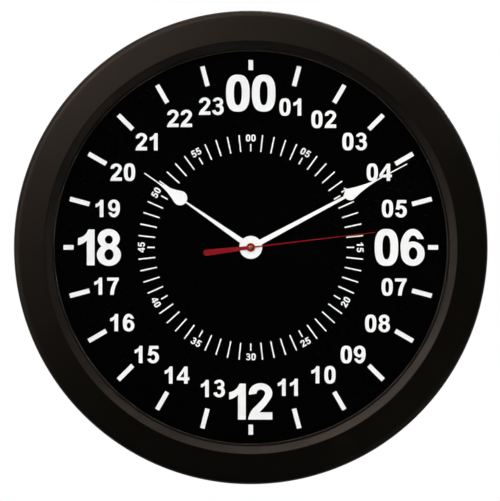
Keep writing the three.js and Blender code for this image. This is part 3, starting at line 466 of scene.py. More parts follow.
def printed(form, shape, move, rear, front):
    """Adds a flat shape as a closed film of ink; move takes its points to the dial."""
    points, triangles, border = shape
    used = sorted({index for triangle in triangles for index in triangle})
    low, high = {}, {}
    for index in used:
        x, z = move(points[index])
        low[index] = form.verts.new((x, -rear, z))
        high[index] = form.verts.new((x, -front, z))
    for triangle in triangles:
        form.faces.new([high[index] for index in triangle])
        form.faces.new([low[index] for index in reversed(triangle)])
    for a, b in border:
        form.faces.new((high[b], high[a], low[a], low[b]))


def clockwise(point, turn):
    """A point of the dial turned clockwise about the axis."""
    x, z = point
    return x * math.cos(turn) + z * math.sin(turn), z * math.cos(turn) - x * math.sin(turn)


def on_circle(radius, turn):
    """A point at a clockwise turn from the top."""
    return radius * math.sin(turn), radius * math.cos(turn)


def boolean(form, tools, operation):
    """The form joined with, or cut by, other forms, as a new form."""
    objects = []
    for index, shape in enumerate([form, *tools]):
        bmesh.ops.recalc_face_normals(shape, faces=shape.faces)
        mesh = bpy.data.meshes.new(f"work_{index}")
        shape.to_mesh(mesh)
        shape.free()
        item = bpy.data.objects.new(mesh.name, mesh)
        bpy.context.scene.collection.objects.link(item)
        objects.append(item)
    for tool in objects[1:]:
        step = objects[0].modifiers.new(tool.name, "BOOLEAN")
        step.operation = operation
        step.solver = "EXACT"
        step.object = tool
    graph = bpy.context.evaluated_depsgraph_get()
    result = bmesh.new()
    result.from_mesh(objects[0].evaluated_get(graph).to_mesh())
    for item in objects:
        mesh = item.data
        bpy.data.objects.remove(item)
        bpy.data.meshes.remove(mesh)
    return result


def add_piece(name, form, body, slot, *nodes, sharp=32.0):
    """Puts a form on its body with its finish, in place of the CAD nodes that it stands for."""
    bmesh.ops.recalc_face_normals(form, faces=form.faces)
    mesh = bpy.data.meshes.new(name)
    form.to_mesh(mesh)
    form.free()
    if not mesh.polygons:
        raise RuntimeError(f"{name} has no faces")
    curved = [face.use_smooth for face in mesh.polygons]
    mesh.set_sharp_from_angle(angle=math.radians(sharp))
    mesh.polygons.foreach_set("use_smooth", curved)
    mesh.materials.append(finish(slot))
    piece = bpy.data.objects.new(name, mesh)
    bpy.context.scene.collection.objects.link(piece)
    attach(piece, body)
    if nodes:
        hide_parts(*nodes)


# Numerals, drawn as bold upright figures

FIGURE_HEIGHT = 100


def figure(digit):
    """Outlines that make a digit and outlines that are cut out of it."""
    if digit == "0":
        return [oval((33, 50), (32.75, 51.5), steps=56, power=2.6)], [
            oval((33, 50), (11.2, 33.5), steps=48, power=2.4)]
    if digit == "1":
        flag = bend((28.6, 100), (22, 80), (0, 75.8))
        under = bend((0, 56.3), (14.5, 58.5), (24.7, 69.6))
        return [[(24.7, 0), (46.2, 0), (46.2, 100), *flag, (0, 75.8), *under, (24.7, 69.6)]], []
    if digit == "2":
        outer = oval((35.4, 73), (32.6, 28.2), 188, -38)
        inner = oval((36.1, 73), (12, 10.8), -30, 184)
        knee = bend(outer[-1], (52, 40), (31.8, 20.1))
        foot = bend((0.5, 0), (3.5, 18), (15.1, 31.2))
        neck = bend((15.1, 31.2), (42.5, 56.5), inner[0])
        return [[*outer, *knee[1:], (31.8, 20.1), (68.3, 20.1), (68.3, 0), *foot, *neck, *inner]], []
    if digit == "3":
        upper = [*oval((33, 74), (30.5, 27.5), 167, -80), *oval((33, 74), (11.8, 11.5), -80, 167)]
        lower = [*oval((33, 31), (34.2, 32.5), 80, -170), *oval((33, 31), (13.4, 15.5), -170, 80)]
        return [upper, lower, [(23, 46), (37, 46), (37, 62.5), (23, 62.5)]], []
    if digit == "4":
        body = [(-1, 20), (41, 20), (41, 0), (61.5, 0), (61.5, 20), (71.5, 20), (71.5, 37), (61.5, 37),
                (61.5, 100), (43, 100), (-1, 37.5)]
        return [body], [[(17.5, 37), (41, 37), (41, 72)]]
    if digit == "5":
        bowl = [*oval((32, 33), (35, 35), 197, 512), *oval((32, 33), (13.3, 17.5), 512, 197)]
        stroke = [(11, 100), (3, 45), (20.5, 47), (28, 82), (64, 82), (64, 100)]
        return [bowl, stroke], []
    if digit == "6":
        spine = [*oval((34.3, 50.1), (34.3, 51.5), 27, 205), *oval((35.8, 54.8), (14.3, 28.7), 205, 40)]
        return [oval((34.3, 32.4), (33.1, 33.9)), spine], [oval((35.1, 33.1), (12.1, 17.3))]
    if digit == "7":
        leg = bend((67, 86), (43, 52), (38, 0))
        under = bend((17, 0), (19, 46), (42.5, 82))
        return [[(-0.5, 82), (-0.5, 100), (67, 100), *leg, (38, 0), *under, (42.5, 82)]], []
    if digit == "8":
        return [oval((32.8, 74.1), (30.7, 27.3)), oval((33.4, 29), (33.5, 30.6))], [
            oval((33.2, 71.7), (11, 11.7)), oval((33.7, 29.8), (12.8, 15.2))]
    # A nine is a six turned over and a little wider
    width, stretch = 68.4, 1.03
    six = figure("6")
    return [[[(width - stretch * x, FIGURE_HEIGHT - z) for x, z in loop] for loop in group] for group in six]


# Space at the left of each figure
BEARING = {"0": 5.2, "1": 8.8, "2": 3.5, "3": 3.8, "4": 2.4, "5": 5.6, "6": 4.0, "7": 6.0, "8": 5.4, "9": 4.3}


def number(text, pitch=None, gap=None):
    """A number as one flat shape, centred on its ink: figures at a pitch, or with a gap between them."""
    points, triangles, border = [], [], []
    pen = 0.0
    for digit in text:
        ink, faces, edges = flat_shape(*figure(digit))
        shift = pen - min(point.x for point in ink) if gap else pen + BEARING[digit]
        start = len(points)
        points += [Vector((point.x + shift, point.y)) for point in ink]
        triangles += [[index + start for index in face] for face in faces]
        border += [(a + start, b + start) for a, b in edges]
        pen = max(point.x for point in points) + gap if gap else pen + pitch
    across = [point.x for point in points]
    middle = Vector(((min(across) + max(across)) / 2, FIGURE_HEIGHT / 2))
    return [(point - middle) / FIGURE_HEIGHT for point in points], triangles, border


# Finishes


def feed(tree, socket, value):
    """Links a socket to an input, or sets a plain value on it."""
    if isinstance(value, bpy.types.NodeSocket):
        tree.links.new(value, socket)
    else:
        socket.default_value = value


def dress(tree, node, **inputs):
    """Feeds a node's inputs, by the names of their sockets."""
    for key, value in inputs.items():
        feed(tree, node.inputs[key.replace("_", " ")], value)


def add_node(tree, kind, settings=None, **inputs):
    """Adds a node with its settings and its inputs."""
    node = tree.nodes.new(kind)
    for key, value in (settings or {}).items():
        setattr(node, key, value)
    dress(tree, node, **inputs)
    return node


def blended(tree, factor, first, second):
    """A colour between two others."""
    node = add_node(tree, "ShaderNodeMix", {"data_type": "RGBA"})
    for index, value in ((0, factor), (6, first), (7, second)):
        feed(tree, node.inputs[index], value)
    return node.outputs[2]


def ranged(tree, value, low, high, to_low=0.0, to_high=1.0):
    """A value moved smoothly from one range to another."""
    node = add_node(tree, "ShaderNodeMapRange", {"interpolation_type": "SMOOTHSTEP"})
    for index, amount in enumerate((value, low, high, to_low, to_high)):
        feed(tree, node.inputs[index], amount)
    return node.outputs["Result"]


def calc(tree, first, second, operation="MULTIPLY"):
    """One value worked out from two."""
    node = add_node(tree, "ShaderNodeMath", {"operation": operation})
    feed(tree, node.inputs[0], first)
    feed(tree, node.inputs[1], second)
    return node.outputs[0]


def noise(tree, place, scale, detail, roughness):
    node = add_node(tree, "ShaderNodeTexNoise", Vector=place, Scale=scale, Detail=detail, Roughness=roughness)
    return node.outputs["Fac"]


def effect(name, inputs, outputs, make):
    """A shader node group that is built once; make fills it."""
    tree = bpy.data.node_groups.get(name)
    if tree:
        return tree
    tree = bpy.data.node_groups.new(name, "ShaderNodeTree")
    for key, default in inputs.items():
        kind = "NodeSocketVector" if isinstance(default, tuple) else "NodeSocketFloat"
        socket = tree.interface.new_socket(name=key, in_out="INPUT", socket_type=kind)
        socket.default_value = default
    for key in outputs:
        tree.interface.new_socket(name=key, in_out="OUTPUT", socket_type="NodeSocketFloat")
    entry = tree.nodes.new("NodeGroupInput")
    leave = tree.nodes.new("NodeGroupOutput")
    place = tree.nodes.new("ShaderNodeTexCoord").outputs["Object"]
    for key, value in make(tree, entry.outputs, place).items():
        tree.links.new(value, leave.inputs[key])
    return tree


def moulded_grain():
    """Fine spark-eroded grain of a moulding, with the slow drift of its shade."""
    def make(tree, inputs, place):
        fine = noise(tree, place, inputs["Scale"], 3.0, 0.6)
        cells = add_node(tree, "ShaderNodeTexVoronoi", Vector=place, Scale=inputs["Scale"])
        height = calc(tree, fine, calc(tree, cells.outputs["Distance"], 0.6), "ADD")
        drift = noise(tree, place, calc(tree, inputs["Scale"], 0.035), 4.0, 0.6)
        shade = calc(tree, calc(tree, drift, 0.75), calc(tree, fine, 0.25), "ADD")
        return {"Height": height, "Shade": ranged(tree, shade, 0.25, 0.75)}
    return effect("moulded_grain", {"Scale": 1500.0}, ("Height", "Shade"), make)


def edge_rub():
    """Where edges are rubbed by handling."""
    def make(tree, inputs, place):
        sharpness = tree.nodes.new("ShaderNodeNewGeometry").outputs["Pointiness"]
        edge = ranged(tree, sharpness, inputs["From"], inputs["To"])
        broken = ranged(tree, noise(tree, place, inputs["Scale"], 5.0, 0.65), 0.35, 0.65)
        return {"Mask": calc(tree, edge, broken)}
    return effect("edge_rub", {"From": 0.51, "To": 0.58, "Scale": 160.0}, ("Mask",), make)


def settled_dust():
    """Dust on what faces up."""
    def make(tree, inputs, place):
        facing = tree.nodes.new("ShaderNodeNewGeometry").outputs["Normal"]
        upward = add_node(tree, "ShaderNodeSeparateXYZ", Vector=facing).outputs["Z"]
        ledge = ranged(tree, upward, 0.25, 0.95)
        specks = ranged(tree, noise(tree, place, inputs["Scale"], 6.0, 0.7), 0.42, 0.72)
        return {"Mask": calc(tree, calc(tree, ledge, specks), inputs["Amount"])}
    return effect("settled_dust", {"Amount": 0.15, "Scale": 420.0}, ("Mask",), make)


def handling():
    """Slow and quick changes of gloss from wiping and handling."""
    def make(tree, inputs, place):
        slow = noise(tree, place, inputs["Scale"], 4.0, 0.6)
        quick = noise(tree, place, calc(tree, inputs["Scale"], 14.0), 2.0, 0.5)
        both = calc(tree, calc(tree, slow, 0.7), calc(tree, quick, 0.3), "ADD")
        return {"Value": ranged(tree, both, 0.3, 0.7)}
    return effect("handling", {"Scale": 22.0}, ("Value",), make)


def drawn_lines():
    """Fine lines that rolling, drawing or turning leaves on metal."""
    def make(tree, inputs, place):
        along = add_node(tree, "ShaderNodeVectorMath", {"operation": "MULTIPLY"})
        tree.links.new(place, along.inputs[0])
        tree.links.new(inputs["Stretch"], along.inputs[1])
        lines = noise(tree, along.outputs[0], 1.0, 3.0, 0.7)
        stains = noise(tree, place, 90.0, 4.0, 0.6)
        return {"Height": lines, "Shade": ranged(tree, calc(tree, lines, stains, "ADD"), 0.7, 1.3)}
    return effect("drawn_lines", {"Stretch": (400.0, 6000.0, 6000.0)}, ("Height", "Shade"), make)


def use(tree, group, **inputs):
    """Places an effect in a material, with its own values."""
    return add_node(tree, "ShaderNodeGroup", {"node_tree": group}, **inputs).outputs


def worn_gloss(tree, low, high, scale=22.0):
    """Roughness between two values, by wiping and handling."""
    return ranged(tree, use(tree, handling(), Scale=scale)["Value"], 0.0, 1.0, low, high)


def scaled(tint, factor=1.0):
    """A colour for a socket, darker or paler than the tint."""
    return tuple(min(1.0, channel * factor) for channel in tint) + (1.0,)


def new_material(name):
    material = bpy.data.materials.new(name)
    material.use_nodes = True
    return material, material.node_tree, material.node_tree.nodes["Principled BSDF"]


def bumped(tree, shader, height, depth, strength):
    bump = add_node(tree, "ShaderNodeBump", Height=height, Distance=depth, Strength=strength)
    dress(tree, shader, Normal=bump.outputs["Normal"])


def plastic(name, tint, dust_tint, gloss, grain, depth, rub=0.35, dust=0.12, gleam=WHITE):
    """A moulded plastic: grain, drift of shade, rubbed edges and a little dust."""
    material, tree, shader = new_material(name)
    texture = use(tree, moulded_grain(), Scale=grain)
    shaded = blended(tree, texture["Shade"], scaled(tint, 0.86), scaled(tint, 1.16))
    edges = calc(tree, use(tree, edge_rub())["Mask"], rub)
    rubbed = blended(tree, edges, shaded, scaled(tint, 2.2))
    specks = use(tree, settled_dust(), Amount=dust)["Mask"]
    dress(tree, shader, Base_Color=blended(tree, specks, rubbed, scaled(dust_tint)),
          Roughness=worn_gloss(tree, gloss - 0.05, gloss + 0.05), Specular_Tint=scaled(gleam))
    bumped(tree, shader, texture["Height"], depth, 0.35)
    return material


def paint(name, tint, chip, gloss, specular, peel=700.0, rub=0.0):
    """A sprayed or printed coat: faint mottle, orange peel and worn edges."""
    material, tree, shader = new_material(name)
    texture = use(tree, moulded_grain(), Scale=peel)
    shaded = blended(tree, texture["Shade"], scaled(tint, 0.965), scaled(tint, 1.02))
    edges = calc(tree, use(tree, edge_rub(), Scale=500.0)["Mask"], rub)
    dress(tree, shader, Base_Color=blended(tree, edges, shaded, scaled(chip)),
          Roughness=worn_gloss(tree, gloss - 0.06, gloss + 0.06, 40.0), Specular_IOR_Level=specular)
    bumped(tree, shader, texture["Height"], 0.02 * MM, 0.25)
    return material


def metal(name, tint, gloss, stretch):
    """A rolled, drawn or turned metal: lines, stains and brighter edges."""
    material, tree, shader = new_material(name)
    lines = use(tree, drawn_lines(), Stretch=stretch)
    shaded = blended(tree, lines["Shade"], scaled(tint, 0.72), scaled(tint, 1.06))
    edges = use(tree, edge_rub(), Scale=300.0)["Mask"]
    dress(tree, shader, Base_Color=blended(tree, edges, shaded, scaled(tint, 1.3)),
          Roughness=worn_gloss(tree, gloss - 0.08, gloss + 0.1, 60.0), Metallic=1.0)
    bumped(tree, shader, lines["Height"], 0.01 * MM, 0.4)
    return material


def lens_glass(name, tint):
    """Clear float glass with faint wiping marks; lamps and soft light pass straight through it."""
    material, tree, shader = new_material(name)
    dress(tree, shader, Base_Color=scaled(tint), Transmission_Weight=1.0, IOR=1.46, Specular_IOR_Level=0.35,
          Roughness=worn_gloss(tree, 0.004, 0.03, 18.0))
    ray = tree.nodes.new("ShaderNodeLightPath").outputs
    passing = calc(tree, ray["Is Shadow Ray"], ray["Is Diffuse Ray"], "MAXIMUM")
    clear = tree.nodes.new("ShaderNodeBsdfTransparent")
    both = tree.nodes.new("ShaderNodeMixShader")
    for socket, value in zip(both.inputs, (passing, shader.outputs[0], clear.outputs[0])):
        feed(tree, socket, value)
    dress(tree, tree.nodes["Material Output"], Surface=both.outputs[0])
    return material


def cell_jacket(name, tint, band, bare_tint):
    """A printed cell wrap: plain jacket, a pale band at the positive end and bare metal at both ends."""
    material, tree, shader = new_material(name)
    sizes = bpy.context.scene.clock_movement
    low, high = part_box("battery")
    band_end, nub_end, crimp = low.x + sizes.cell_band, low.x + sizes.cell_nub, high.x - sizes.cell_crimp
    edge = 0.1 * MM
    place = tree.nodes.new("ShaderNodeTexCoord").outputs["Object"]
    along = add_node(tree, "ShaderNodeSeparateXYZ", Vector=place).outputs["X"]
    texture = use(tree, moulded_grain(), Scale=900.0)
    jacket = blended(tree, texture["Shade"], scaled(tint, 0.9), scaled(tint, 1.1))
    wrap = blended(tree, ranged(tree, along, band_end + 2 * edge, band_end), jacket, scaled(band))
    bare_left = ranged(tree, along, nub_end + edge, nub_end)
    bare_right = ranged(tree, along, crimp, crimp + edge)
    bare = calc(tree, bare_left, bare_right, "MAXIMUM")
    dress(tree, shader, Base_Color=blended(tree, bare, wrap, scaled(bare_tint)), Metallic=bare,
          Roughness=worn_gloss(tree, 0.24, 0.36, 70.0))
    bumped(tree, shader, texture["Height"], 0.01 * MM, 0.2)
    return material


def winding(name, tint):
    """Enamelled wire, turn beside turn, with painted shade between turns and a painted highlight on each."""
    material, tree, shader = new_material(name)
    place = tree.nodes.new("ShaderNodeTexCoord").outputs["Object"]
    turns = add_node(tree, "ShaderNodeTexWave", {"wave_type": "BANDS", "bands_direction": "X"},
                     Vector=place, Scale=900.0, Distortion=0.6).outputs["Fac"]
    # Colour from dark to pale copper across each turn: painted shade in the grooves and painted highlight on
    # the turns
    dress(tree, shader, Base_Color=blended(tree, turns, scaled(tint, 0.45), scaled(tint, 1.2)), Metallic=0.8,
          Roughness=worn_gloss(tree, 0.28, 0.42, 120.0))
    bumped(tree, shader, turns, 0.08 * MM, 0.8)
    return material


def finish(slot):
    """The material of a slot, made when it is first needed."""
    name = f"finish_{slot}"
    material = bpy.data.materials.get(name)
    if material:
        return material
    tints = bpy.context.scene.clock_colours

    def moulded(tint, **values):
        return plastic, (tint, tints.dust), values

    def coat(tint, chip=tints.chip, **values):
        return paint, (tint, chip), values

    def bare(tint, gloss, *stretch):
        return metal, (tint, gloss, stretch), {}

    recipes = {
        "case_plastic": moulded(
            tints.case, gloss=0.5, grain=1500.0, depth=0.09 * MM, dust=0.04, gleam=tints.gleam),
        "board_plastic": moulded(tints.board, gloss=0.5, grain=1100.0, depth=0.12 * MM, dust=0.22),
        "movement_plastic": moulded(tints.movement, gloss=0.46, grain=1900.0, depth=0.06 * MM, dust=0.18),
        "gear_plastic": moulded(tints.gear, gloss=0.45, grain=2400.0, depth=0.02 * MM, rub=0.05, dust=0.0),
        "knob_plastic": moulded(tints.knob, gloss=0.48, grain=2100.0, depth=0.05 * MM, rub=0.5),
        "rubber": moulded(tints.rubber, gloss=0.85, grain=1700.0, depth=0.08 * MM, rub=0.1, dust=0.1),
        "circuit": moulded(tints.circuit, gloss=0.4, grain=2600.0, depth=0.02 * MM, rub=0.1, dust=0.0),
        "dial_paint": coat(tints.dial, gloss=0.72, specular=0.0),
        "dial_print": coat(tints.ink, gloss=0.6, specular=0.2, peel=1100.0),
        "hand_white": coat(tints.hand, gloss=0.5, specular=0.3, rub=0.12),
        "hand_red": coat(tints.second, tints.red_chip, gloss=0.46, specular=0.14, rub=0.08),
        "brass": bare(tints.brass, 0.3, 6000.0, 700.0, 6000.0),
        "zinc_steel": bare(tints.zinc, 0.34, 300.0, 5200.0, 5200.0),
        "motor_steel": bare(tints.steel, 0.36, 5200.0, 5200.0, 300.0),
        "magnet": bare(tints.magnet, 0.45, 3000.0, 3000.0, 3000.0),
        "lens_glass": (lens_glass, (tints.lens,), {}),
        "cell_jacket": (cell_jacket, (tints.jacket, tints.jacket_band, tints.cell_end), {}),
        "copper_winding": (winding, (tints.copper,), {}),
    }
    make, tones, values = recipes[slot]
    return make(name, *tones, **values)


# The case and its back

# Pan head of a screw: shares of its radius, and millimetres under its top
PAN_HEAD = ((0, 0), (0.45, 0.06), (0.74, 0.3), (0.93, 0.85), (1, 1.4))


def sight_radius(case):
    """Radius of the bezel's opening."""
    return half_width("bezel") - case.rim_round - case.cone_width - case.crest_width - case.flare_width


def rounded_rim(radius, rear, front, edge, steps=3):
    """Profile of a disc's outer edge with both corners rounded."""
    arcs = [math.pi / 2 * step / steps for step in range(steps + 1)]
    low = [(radius - edge * (1 - math.sin(arc)), rear + edge * (1 - math.cos(arc))) for arc in arcs]
    high = [(across, front + rear - depth) for across, depth in reversed(low)]
    return low + high


class CLOCK_OT_bezel(Operator):
    """Moulded case: outer skirt, rounded rim, conical face, crest, flare, lip, lens seat and screw bosses"""

    bl_idname = "clock.bezel"
    bl_label = "Bezel"

    def execute(self, context):
        case = context.scene.clock_case
        outer = half_width("bezel")
        lens_rear, lens_front = depths("lens")
        seat = half_width("lens") + case.seat_gap
        seat_outer = seat + case.seat_wall
        seat_rear = lens_rear - case.seat_drop
        cone_outer = outer - case.rim_round
        cone_inner = cone_outer - case.cone_width
        crest_inner = cone_inner - case.crest_width
        sight = sight_radius(case)
        swell = case.crest_width / 4
        crest = depths("bezel")[1] - swell
        cone_low = crest - case.cone_drop
        lip = crest - case.flare_depth
        shoulder = cone_low - case.rim_drop
        slope = case.cone_drop / case.cone_width
        skirt = outer - case.wall
        fine = case.fine_round
        control = (outer, cone_low - case.rim_round * slope)
        rim = [(*point, 0) for point in bend((cone_outer, cone_low), control, (outer, shoulder), 14)]
        profile = rounded([
            (sight, lens_front, fine / 2),
            (sight, lip, fine),
            (crest_inner, crest - swell, case.crest_inner_round),
            ((cone_inner + crest_inner) / 2, crest + swell, case.crest_round),
            (cone_inner, crest, case.crest_outer_round),
            *rim,
            (outer, shoulder, 0),
            (outer, (shoulder + case.foot_chamfer) / 2, 0),
            (outer, case.foot_chamfer, case.foot_round),
            (outer - case.foot_chamfer, 0, fine),
            (skirt, 0, fine),
            (skirt, shoulder - case.wall, case.inside_round),
            (cone_outer - case.wall / 2, cone_low - case.wall, case.inside_round),
            (seat_outer, crest - (seat_outer - cone_inner) * slope - case.wall, case.root_round),
            (seat_outer, seat_rear, fine),
            (seat, seat_rear, fine),
            (seat, lens_front, fine / 2),
        ], fine, steps=4)
        ring = bmesh.new()
        turned(ring, profile, steps=300)

        places = [centre(screw) for screw in BACK_SCREWS]
        reach = Vector(places[0]).length + case.boss_radius
        foot, top = depths("back_board")[1], crest - (reach - cone_inner) * slope - case.wall / 2
        pilot, hole = depths(BACK_SCREWS[0])[1], case.shank_radius + case.pilot_gap
        bosses = []
        for place in places:
            boss = bmesh.new()
            turned(boss, [(hole, foot), (case.boss_radius, foot), (case.boss_radius, top), (0, top),
                          (0, pilot), (hole, pilot)], 28, place)
            bosses.append(boss)
        add_piece("case_bezel", boolean(ring, bosses, "UNION"), "case", "case_plastic", "bezel", sharp=28)
        return {"FINISHED"}


class CLOCK_OT_lens(Operator):
    """Clear lens with ground edges"""

    bl_idname = "clock.lens"
    bl_label = "Lens"

    def execute(self, context):
        rear, front = depths("lens")
        rim = rounded_rim(half_width("lens"), rear, front, context.scene.clock_case.lens_round)
        form = bmesh.new()
        turned(form, [(0, rear), *rim, (0, front)], steps=192)
        add_piece("front_lens", form, "case", "lens_glass", "lens")
        return {"FINISHED"}


class CLOCK_OT_spacer_ring(Operator):
    """Ring with a foot that holds the dial away from the lens"""

    bl_idname = "clock.spacer_ring"
    bl_label = "Spacer ring"

    def execute(self, context):
        case = context.scene.clock_case
        rear, front = depths("spacer_ring")
        outer = half_width("spacer_ring")
        inner = sight_radius(case) - case.spacer_show
        wall = inner + case.spacer_wall
        foot = rear + case.spacer_foot
        form = bmesh.new()
        profile = [(inner, rear), (outer, rear), (outer, foot), (wall, foot), (wall, front),
                   (inner, front, case.spacer_round)]
        turned(form, rounded(profile, case.fine_round / 2), steps=240)
        add_piece("dial_spacer", form, "case", "case_plastic", "spacer_ring")
        return {"FINISHED"}


class CLOCK_OT_dial(Operator):
    """Painted dial sheet with a punched middle"""

    bl_idname = "clock.dial"
    bl_label = "Dial"

    def execute(self, context):
        case = context.scene.clock_case
        rear, front = depths("dial")
        hole = half_width("brass_washer") * case.dial_hole
        rim = rounded_rim(half_width("dial"), rear, front, case.dial_round)
        form = bmesh.new()
        turned(form, [(hole, rear), *rim, (hole, front)], steps=192)
        add_piece("dial_sheet", form, "case", "dial_paint", "dial")
        return {"FINISHED"}


class CLOCK_OT_back_board(Operator):
    """Back board: sheet with its rim, the ribs and the frame round the movement"""

    bl_idname = "clock.back_board"
    bl_label = "Back board"

    def execute(self, context):
        case = context.scene.clock_case
        front = depths("back_board")[1]
        rear = front - case.board_sheet
        radius = half_width("back_board")
        hole = radius * case.board_hole
        rim_inner = radius - case.board_rim
        rim_rear = rear - case.board_rim_height
        sheet = bmesh.new()
        turned(sheet, rounded([
            (hole, front), (hole, rear), (rim_inner, rear, case.root_round),
            (rim_inner, rim_rear, case.board_rim_round), (radius, rim_rear, case.board_rim_round),
            (radius, front, case.fine_round),
        ], case.fine_round / 3), steps=240)
        add_piece("back_board_sheet", sheet, "case", "board_plastic", "back_board")

        low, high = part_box("movement_case")
        gap, wall = case.frame_gap, case.frame_wall
        inner = (low.x - gap, high.x + gap, low.z - gap, high.z + gap)
        outer = (inner[0] - wall, inner[1] + wall, inner[2] - wall, inner[3] + wall)
        corner = case.movement_corner + gap
        sunk = rear + case.root_sink
        locating = bmesh.new()
        stamped(locating, rectangle(*outer, corner + wall), [rectangle(*inner, corner)],
                rear - case.frame_height, sunk, bevel=0.35 * MM)
        add_piece("board_frame", locating, "case", "board_plastic")

        start = math.hypot(outer[1], outer[3])
        half = case.rib_thickness / 2
        bar = rectangle(-half, half, start, rim_inner + 2 * case.root_sink, corner=0.5 * MM)
        ribs = bmesh.new()
        for index in range(case.rib_count):
            turn = math.tau * index / case.rib_count
            rib = [clockwise(point, turn) for point in bar]
            stamped(ribs, rib, [], rear - case.rib_height, sunk, bevel=0.4 * MM)
        add_piece("board_ribs", ribs, "case", "board_plastic")
        return {"FINISHED"}


class CLOCK_OT_screws(Operator):
    """Pan-head screws with cross recesses, six in the board and two in the hanger"""

    bl_idname = "clock.screws"
    bl_label = "Screws"

    def execute(self, context):
        case = context.scene.clock_case
        shank, pitch, edge = case.shank_radius, case.thread_pitch, 0.15 * MM
        root, nose = shank * 0.8, shank * 0.7
        for order, name in enumerate(BACK_SCREWS + HANGER_SCREWS):
            rear, tip = depths(name)
            radius = half_width(name)
            seat = rear + case.screw_head
            place = centre(name)
            head = [(radius * across, rear + down * MM) for across, down in PAN_HEAD]
            head += [(radius, seat - edge), (radius - edge, seat), (shank, seat)]
            depth, thread = seat + 0.75 * pitch, []
            while depth < tip - 2 * pitch:
                thread += [(shank, depth + 0.25 * MM), (root, depth + 0.6 * MM)]
                depth += pitch
            body = bmesh.new()
            turned(body, [*head, *thread, (nose, tip - 1.1 * MM), (0, tip)], 36, place)
            turn = math.radians(17 + 41 * order)  # driven screws don't line up
            recess = [clockwise(point, turn) for point in plus(radius * 0.58, radius * 0.11)]
            cross = bmesh.new()
            stamped(cross, moved(recess, place), [], rear - MM, rear + case.recess_depth, bevel=0.08 * MM)
            shaped = boolean(body, [cross], "DIFFERENCE")
            add_piece(f"{name}_pan_head", shaped, "case", "zinc_steel", name)
        return {"FINISHED"}


class CLOCK_OT_hanger(Operator):
    """Plated hanger plate with its keyhole, on two moulded spacers"""

    bl_idname = "clock.hanger"
    bl_label = "Hanger"

    def execute(self, context):
        case = context.scene.clock_case
        low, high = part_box("hanger_plate")
        rear, front = depths("hanger_plate")
        entry = (low.z + high.z) / 2 - case.keyhole_drop
        top = entry + case.keyhole_rise
        half = case.keyhole_slot / 2
        hole = case.hanger_hole
        meet = math.degrees(math.acos(half / case.keyhole_radius))
        ring = oval((0, entry), (case.keyhole_radius, case.keyhole_radius), meet, -180 - meet, 36)
        keyhole = rounded([*((*point, 0) for point in ring), (-half, top), (half, top)], case.root_round, 5)
        holes = [keyhole] + [oval(centre(screw), (hole, hole), steps=24) for screw in HANGER_SCREWS]
        outline = rectangle(low.x, high.x, low.z, high.z, case.hanger_corner, steps=8)
        form = bmesh.new()
        stamped(form, outline, holes, rear, front, case.hanger_bevel)
        add_piece("hanger_sheet", form, "case", "zinc_steel", "hanger_plate")
        for index in (1, 2):
            node = f"hanger_spacer_{index}"
            rear, front = depths(node)
            radius = half_width(node)
            narrow = radius * 0.94
            profile = [(hole, rear), (narrow, rear), (radius, front), (hole, front)]
            post = bmesh.new()
            turned(post, rounded(profile, case.fine_round), 40, centre(node))
            add_piece(f"hanger_post_{index}", post, "case", "case_plastic", node)
        return {"FINISHED"}


# The dial's print

# How far each numeral stands off its circle, sideways and up, in millimetres
SET_OFF = {
    1: (1.3, -0.6), 2: (-0.9, -0.3), 3: (-0.8, 0.7), 4: (0.0, 0.7), 5: (0.2, 0.3), 6: (-1.0, 0.0),
    7: (0.0, -0.9), 8: (-1.3, -1.4), 9: (-1.9, -1.7), 10: (-1.1, 0.8), 11: (-0.6, 0.9), 14: (0.3, 0.6),
    15: (0.7, -1.6), 16: (0.0, -0.8), 17: (-0.7, -0.3), 18: (-0.8, 0.0), 19: (0.2, 0.4), 20: (0.3, 0.7),
    21: (0.5, 0.5), 22: (2.2, 0.3), 23: (-1.3, 0.0),
}


class CLOCK_OT_hour_numerals(Operator):
    """Upright hour numerals from 00 to 23, with large ones at the quarters"""

    bl_idname = "clock.hour_numerals"
    bl_label = "Hour numerals"

    def execute(self, context):
        sizes = context.scene.clock_print
        top = depths("dial")[1]
        form = bmesh.new()
        for hour in range(24):
            quarter = hour % 6 == 0
            height = sizes.quarter_height if quarter else sizes.numeral_height
            circle = sizes.numeral_circle
            if hour % 12 == 0:
                circle = sizes.upright_circle
            elif quarter:
                circle = sizes.level_circle
            elif hour % 12 in (1, 11):
                circle = sizes.tucked_circle
            middle = Vector(on_circle(circle, math.tau * hour / 24))
            middle += Vector(SET_OFF.get(hour, (0.0, 0.0))) * MM
            pitch = sizes.numeral_pitch - (sizes.eleven_tuck if hour == 11 else 0.0)
            text = f"{hour:02d}"
            if quarter:
                shape = number(text, gap=sizes.quarter_gap * FIGURE_HEIGHT)
            else:
                shape = number(text, pitch * FIGURE_HEIGHT)

            def move(point):
                return middle + point * height

            printed(form, shape, move, top - sizes.ink, top + sizes.ink)
        add_piece("hour_numerals", form, "case", "dial_print")
        return {"FINISHED"}


def strokes(form, bars, rear, front):
    """Adds straight strokes of ink: each bar is its inner radius, outer radius, width and turn."""
    for inner, outer, width, turn in bars:
        corners = [Vector(corner) for corner in rectangle(-width / 2, width / 2, inner, outer)]
        shape = corners, [[0, 1, 2], [0, 2, 3]], [(0, 1), (1, 2), (2, 3), (3, 0)]

        def move(point):
            return clockwise(point, turn)

        printed(form, shape, move, rear, front)


class CLOCK_OT_hour_marks(Operator):
    """Hour marks, shorter at the quarters"""

    bl_idname = "clock.hour_marks"
    bl_label = "Hour marks"

    def execute(self, context):
        sizes = context.scene.clock_print
        top = depths("dial")[1]
        bars = []
        for hour in range(24):
            inner = sizes.quarter_inner if hour % 6 == 0 else sizes.mark_inner
            bars.append((inner, sizes.mark_outer, sizes.mark_width, math.tau * hour / 24))
        form = bmesh.new()
        strokes(form, bars, top - sizes.ink, top + sizes.ink)
        add_piece("hour_marks", form, "case", "dial_print")
        return {"FINISHED"}


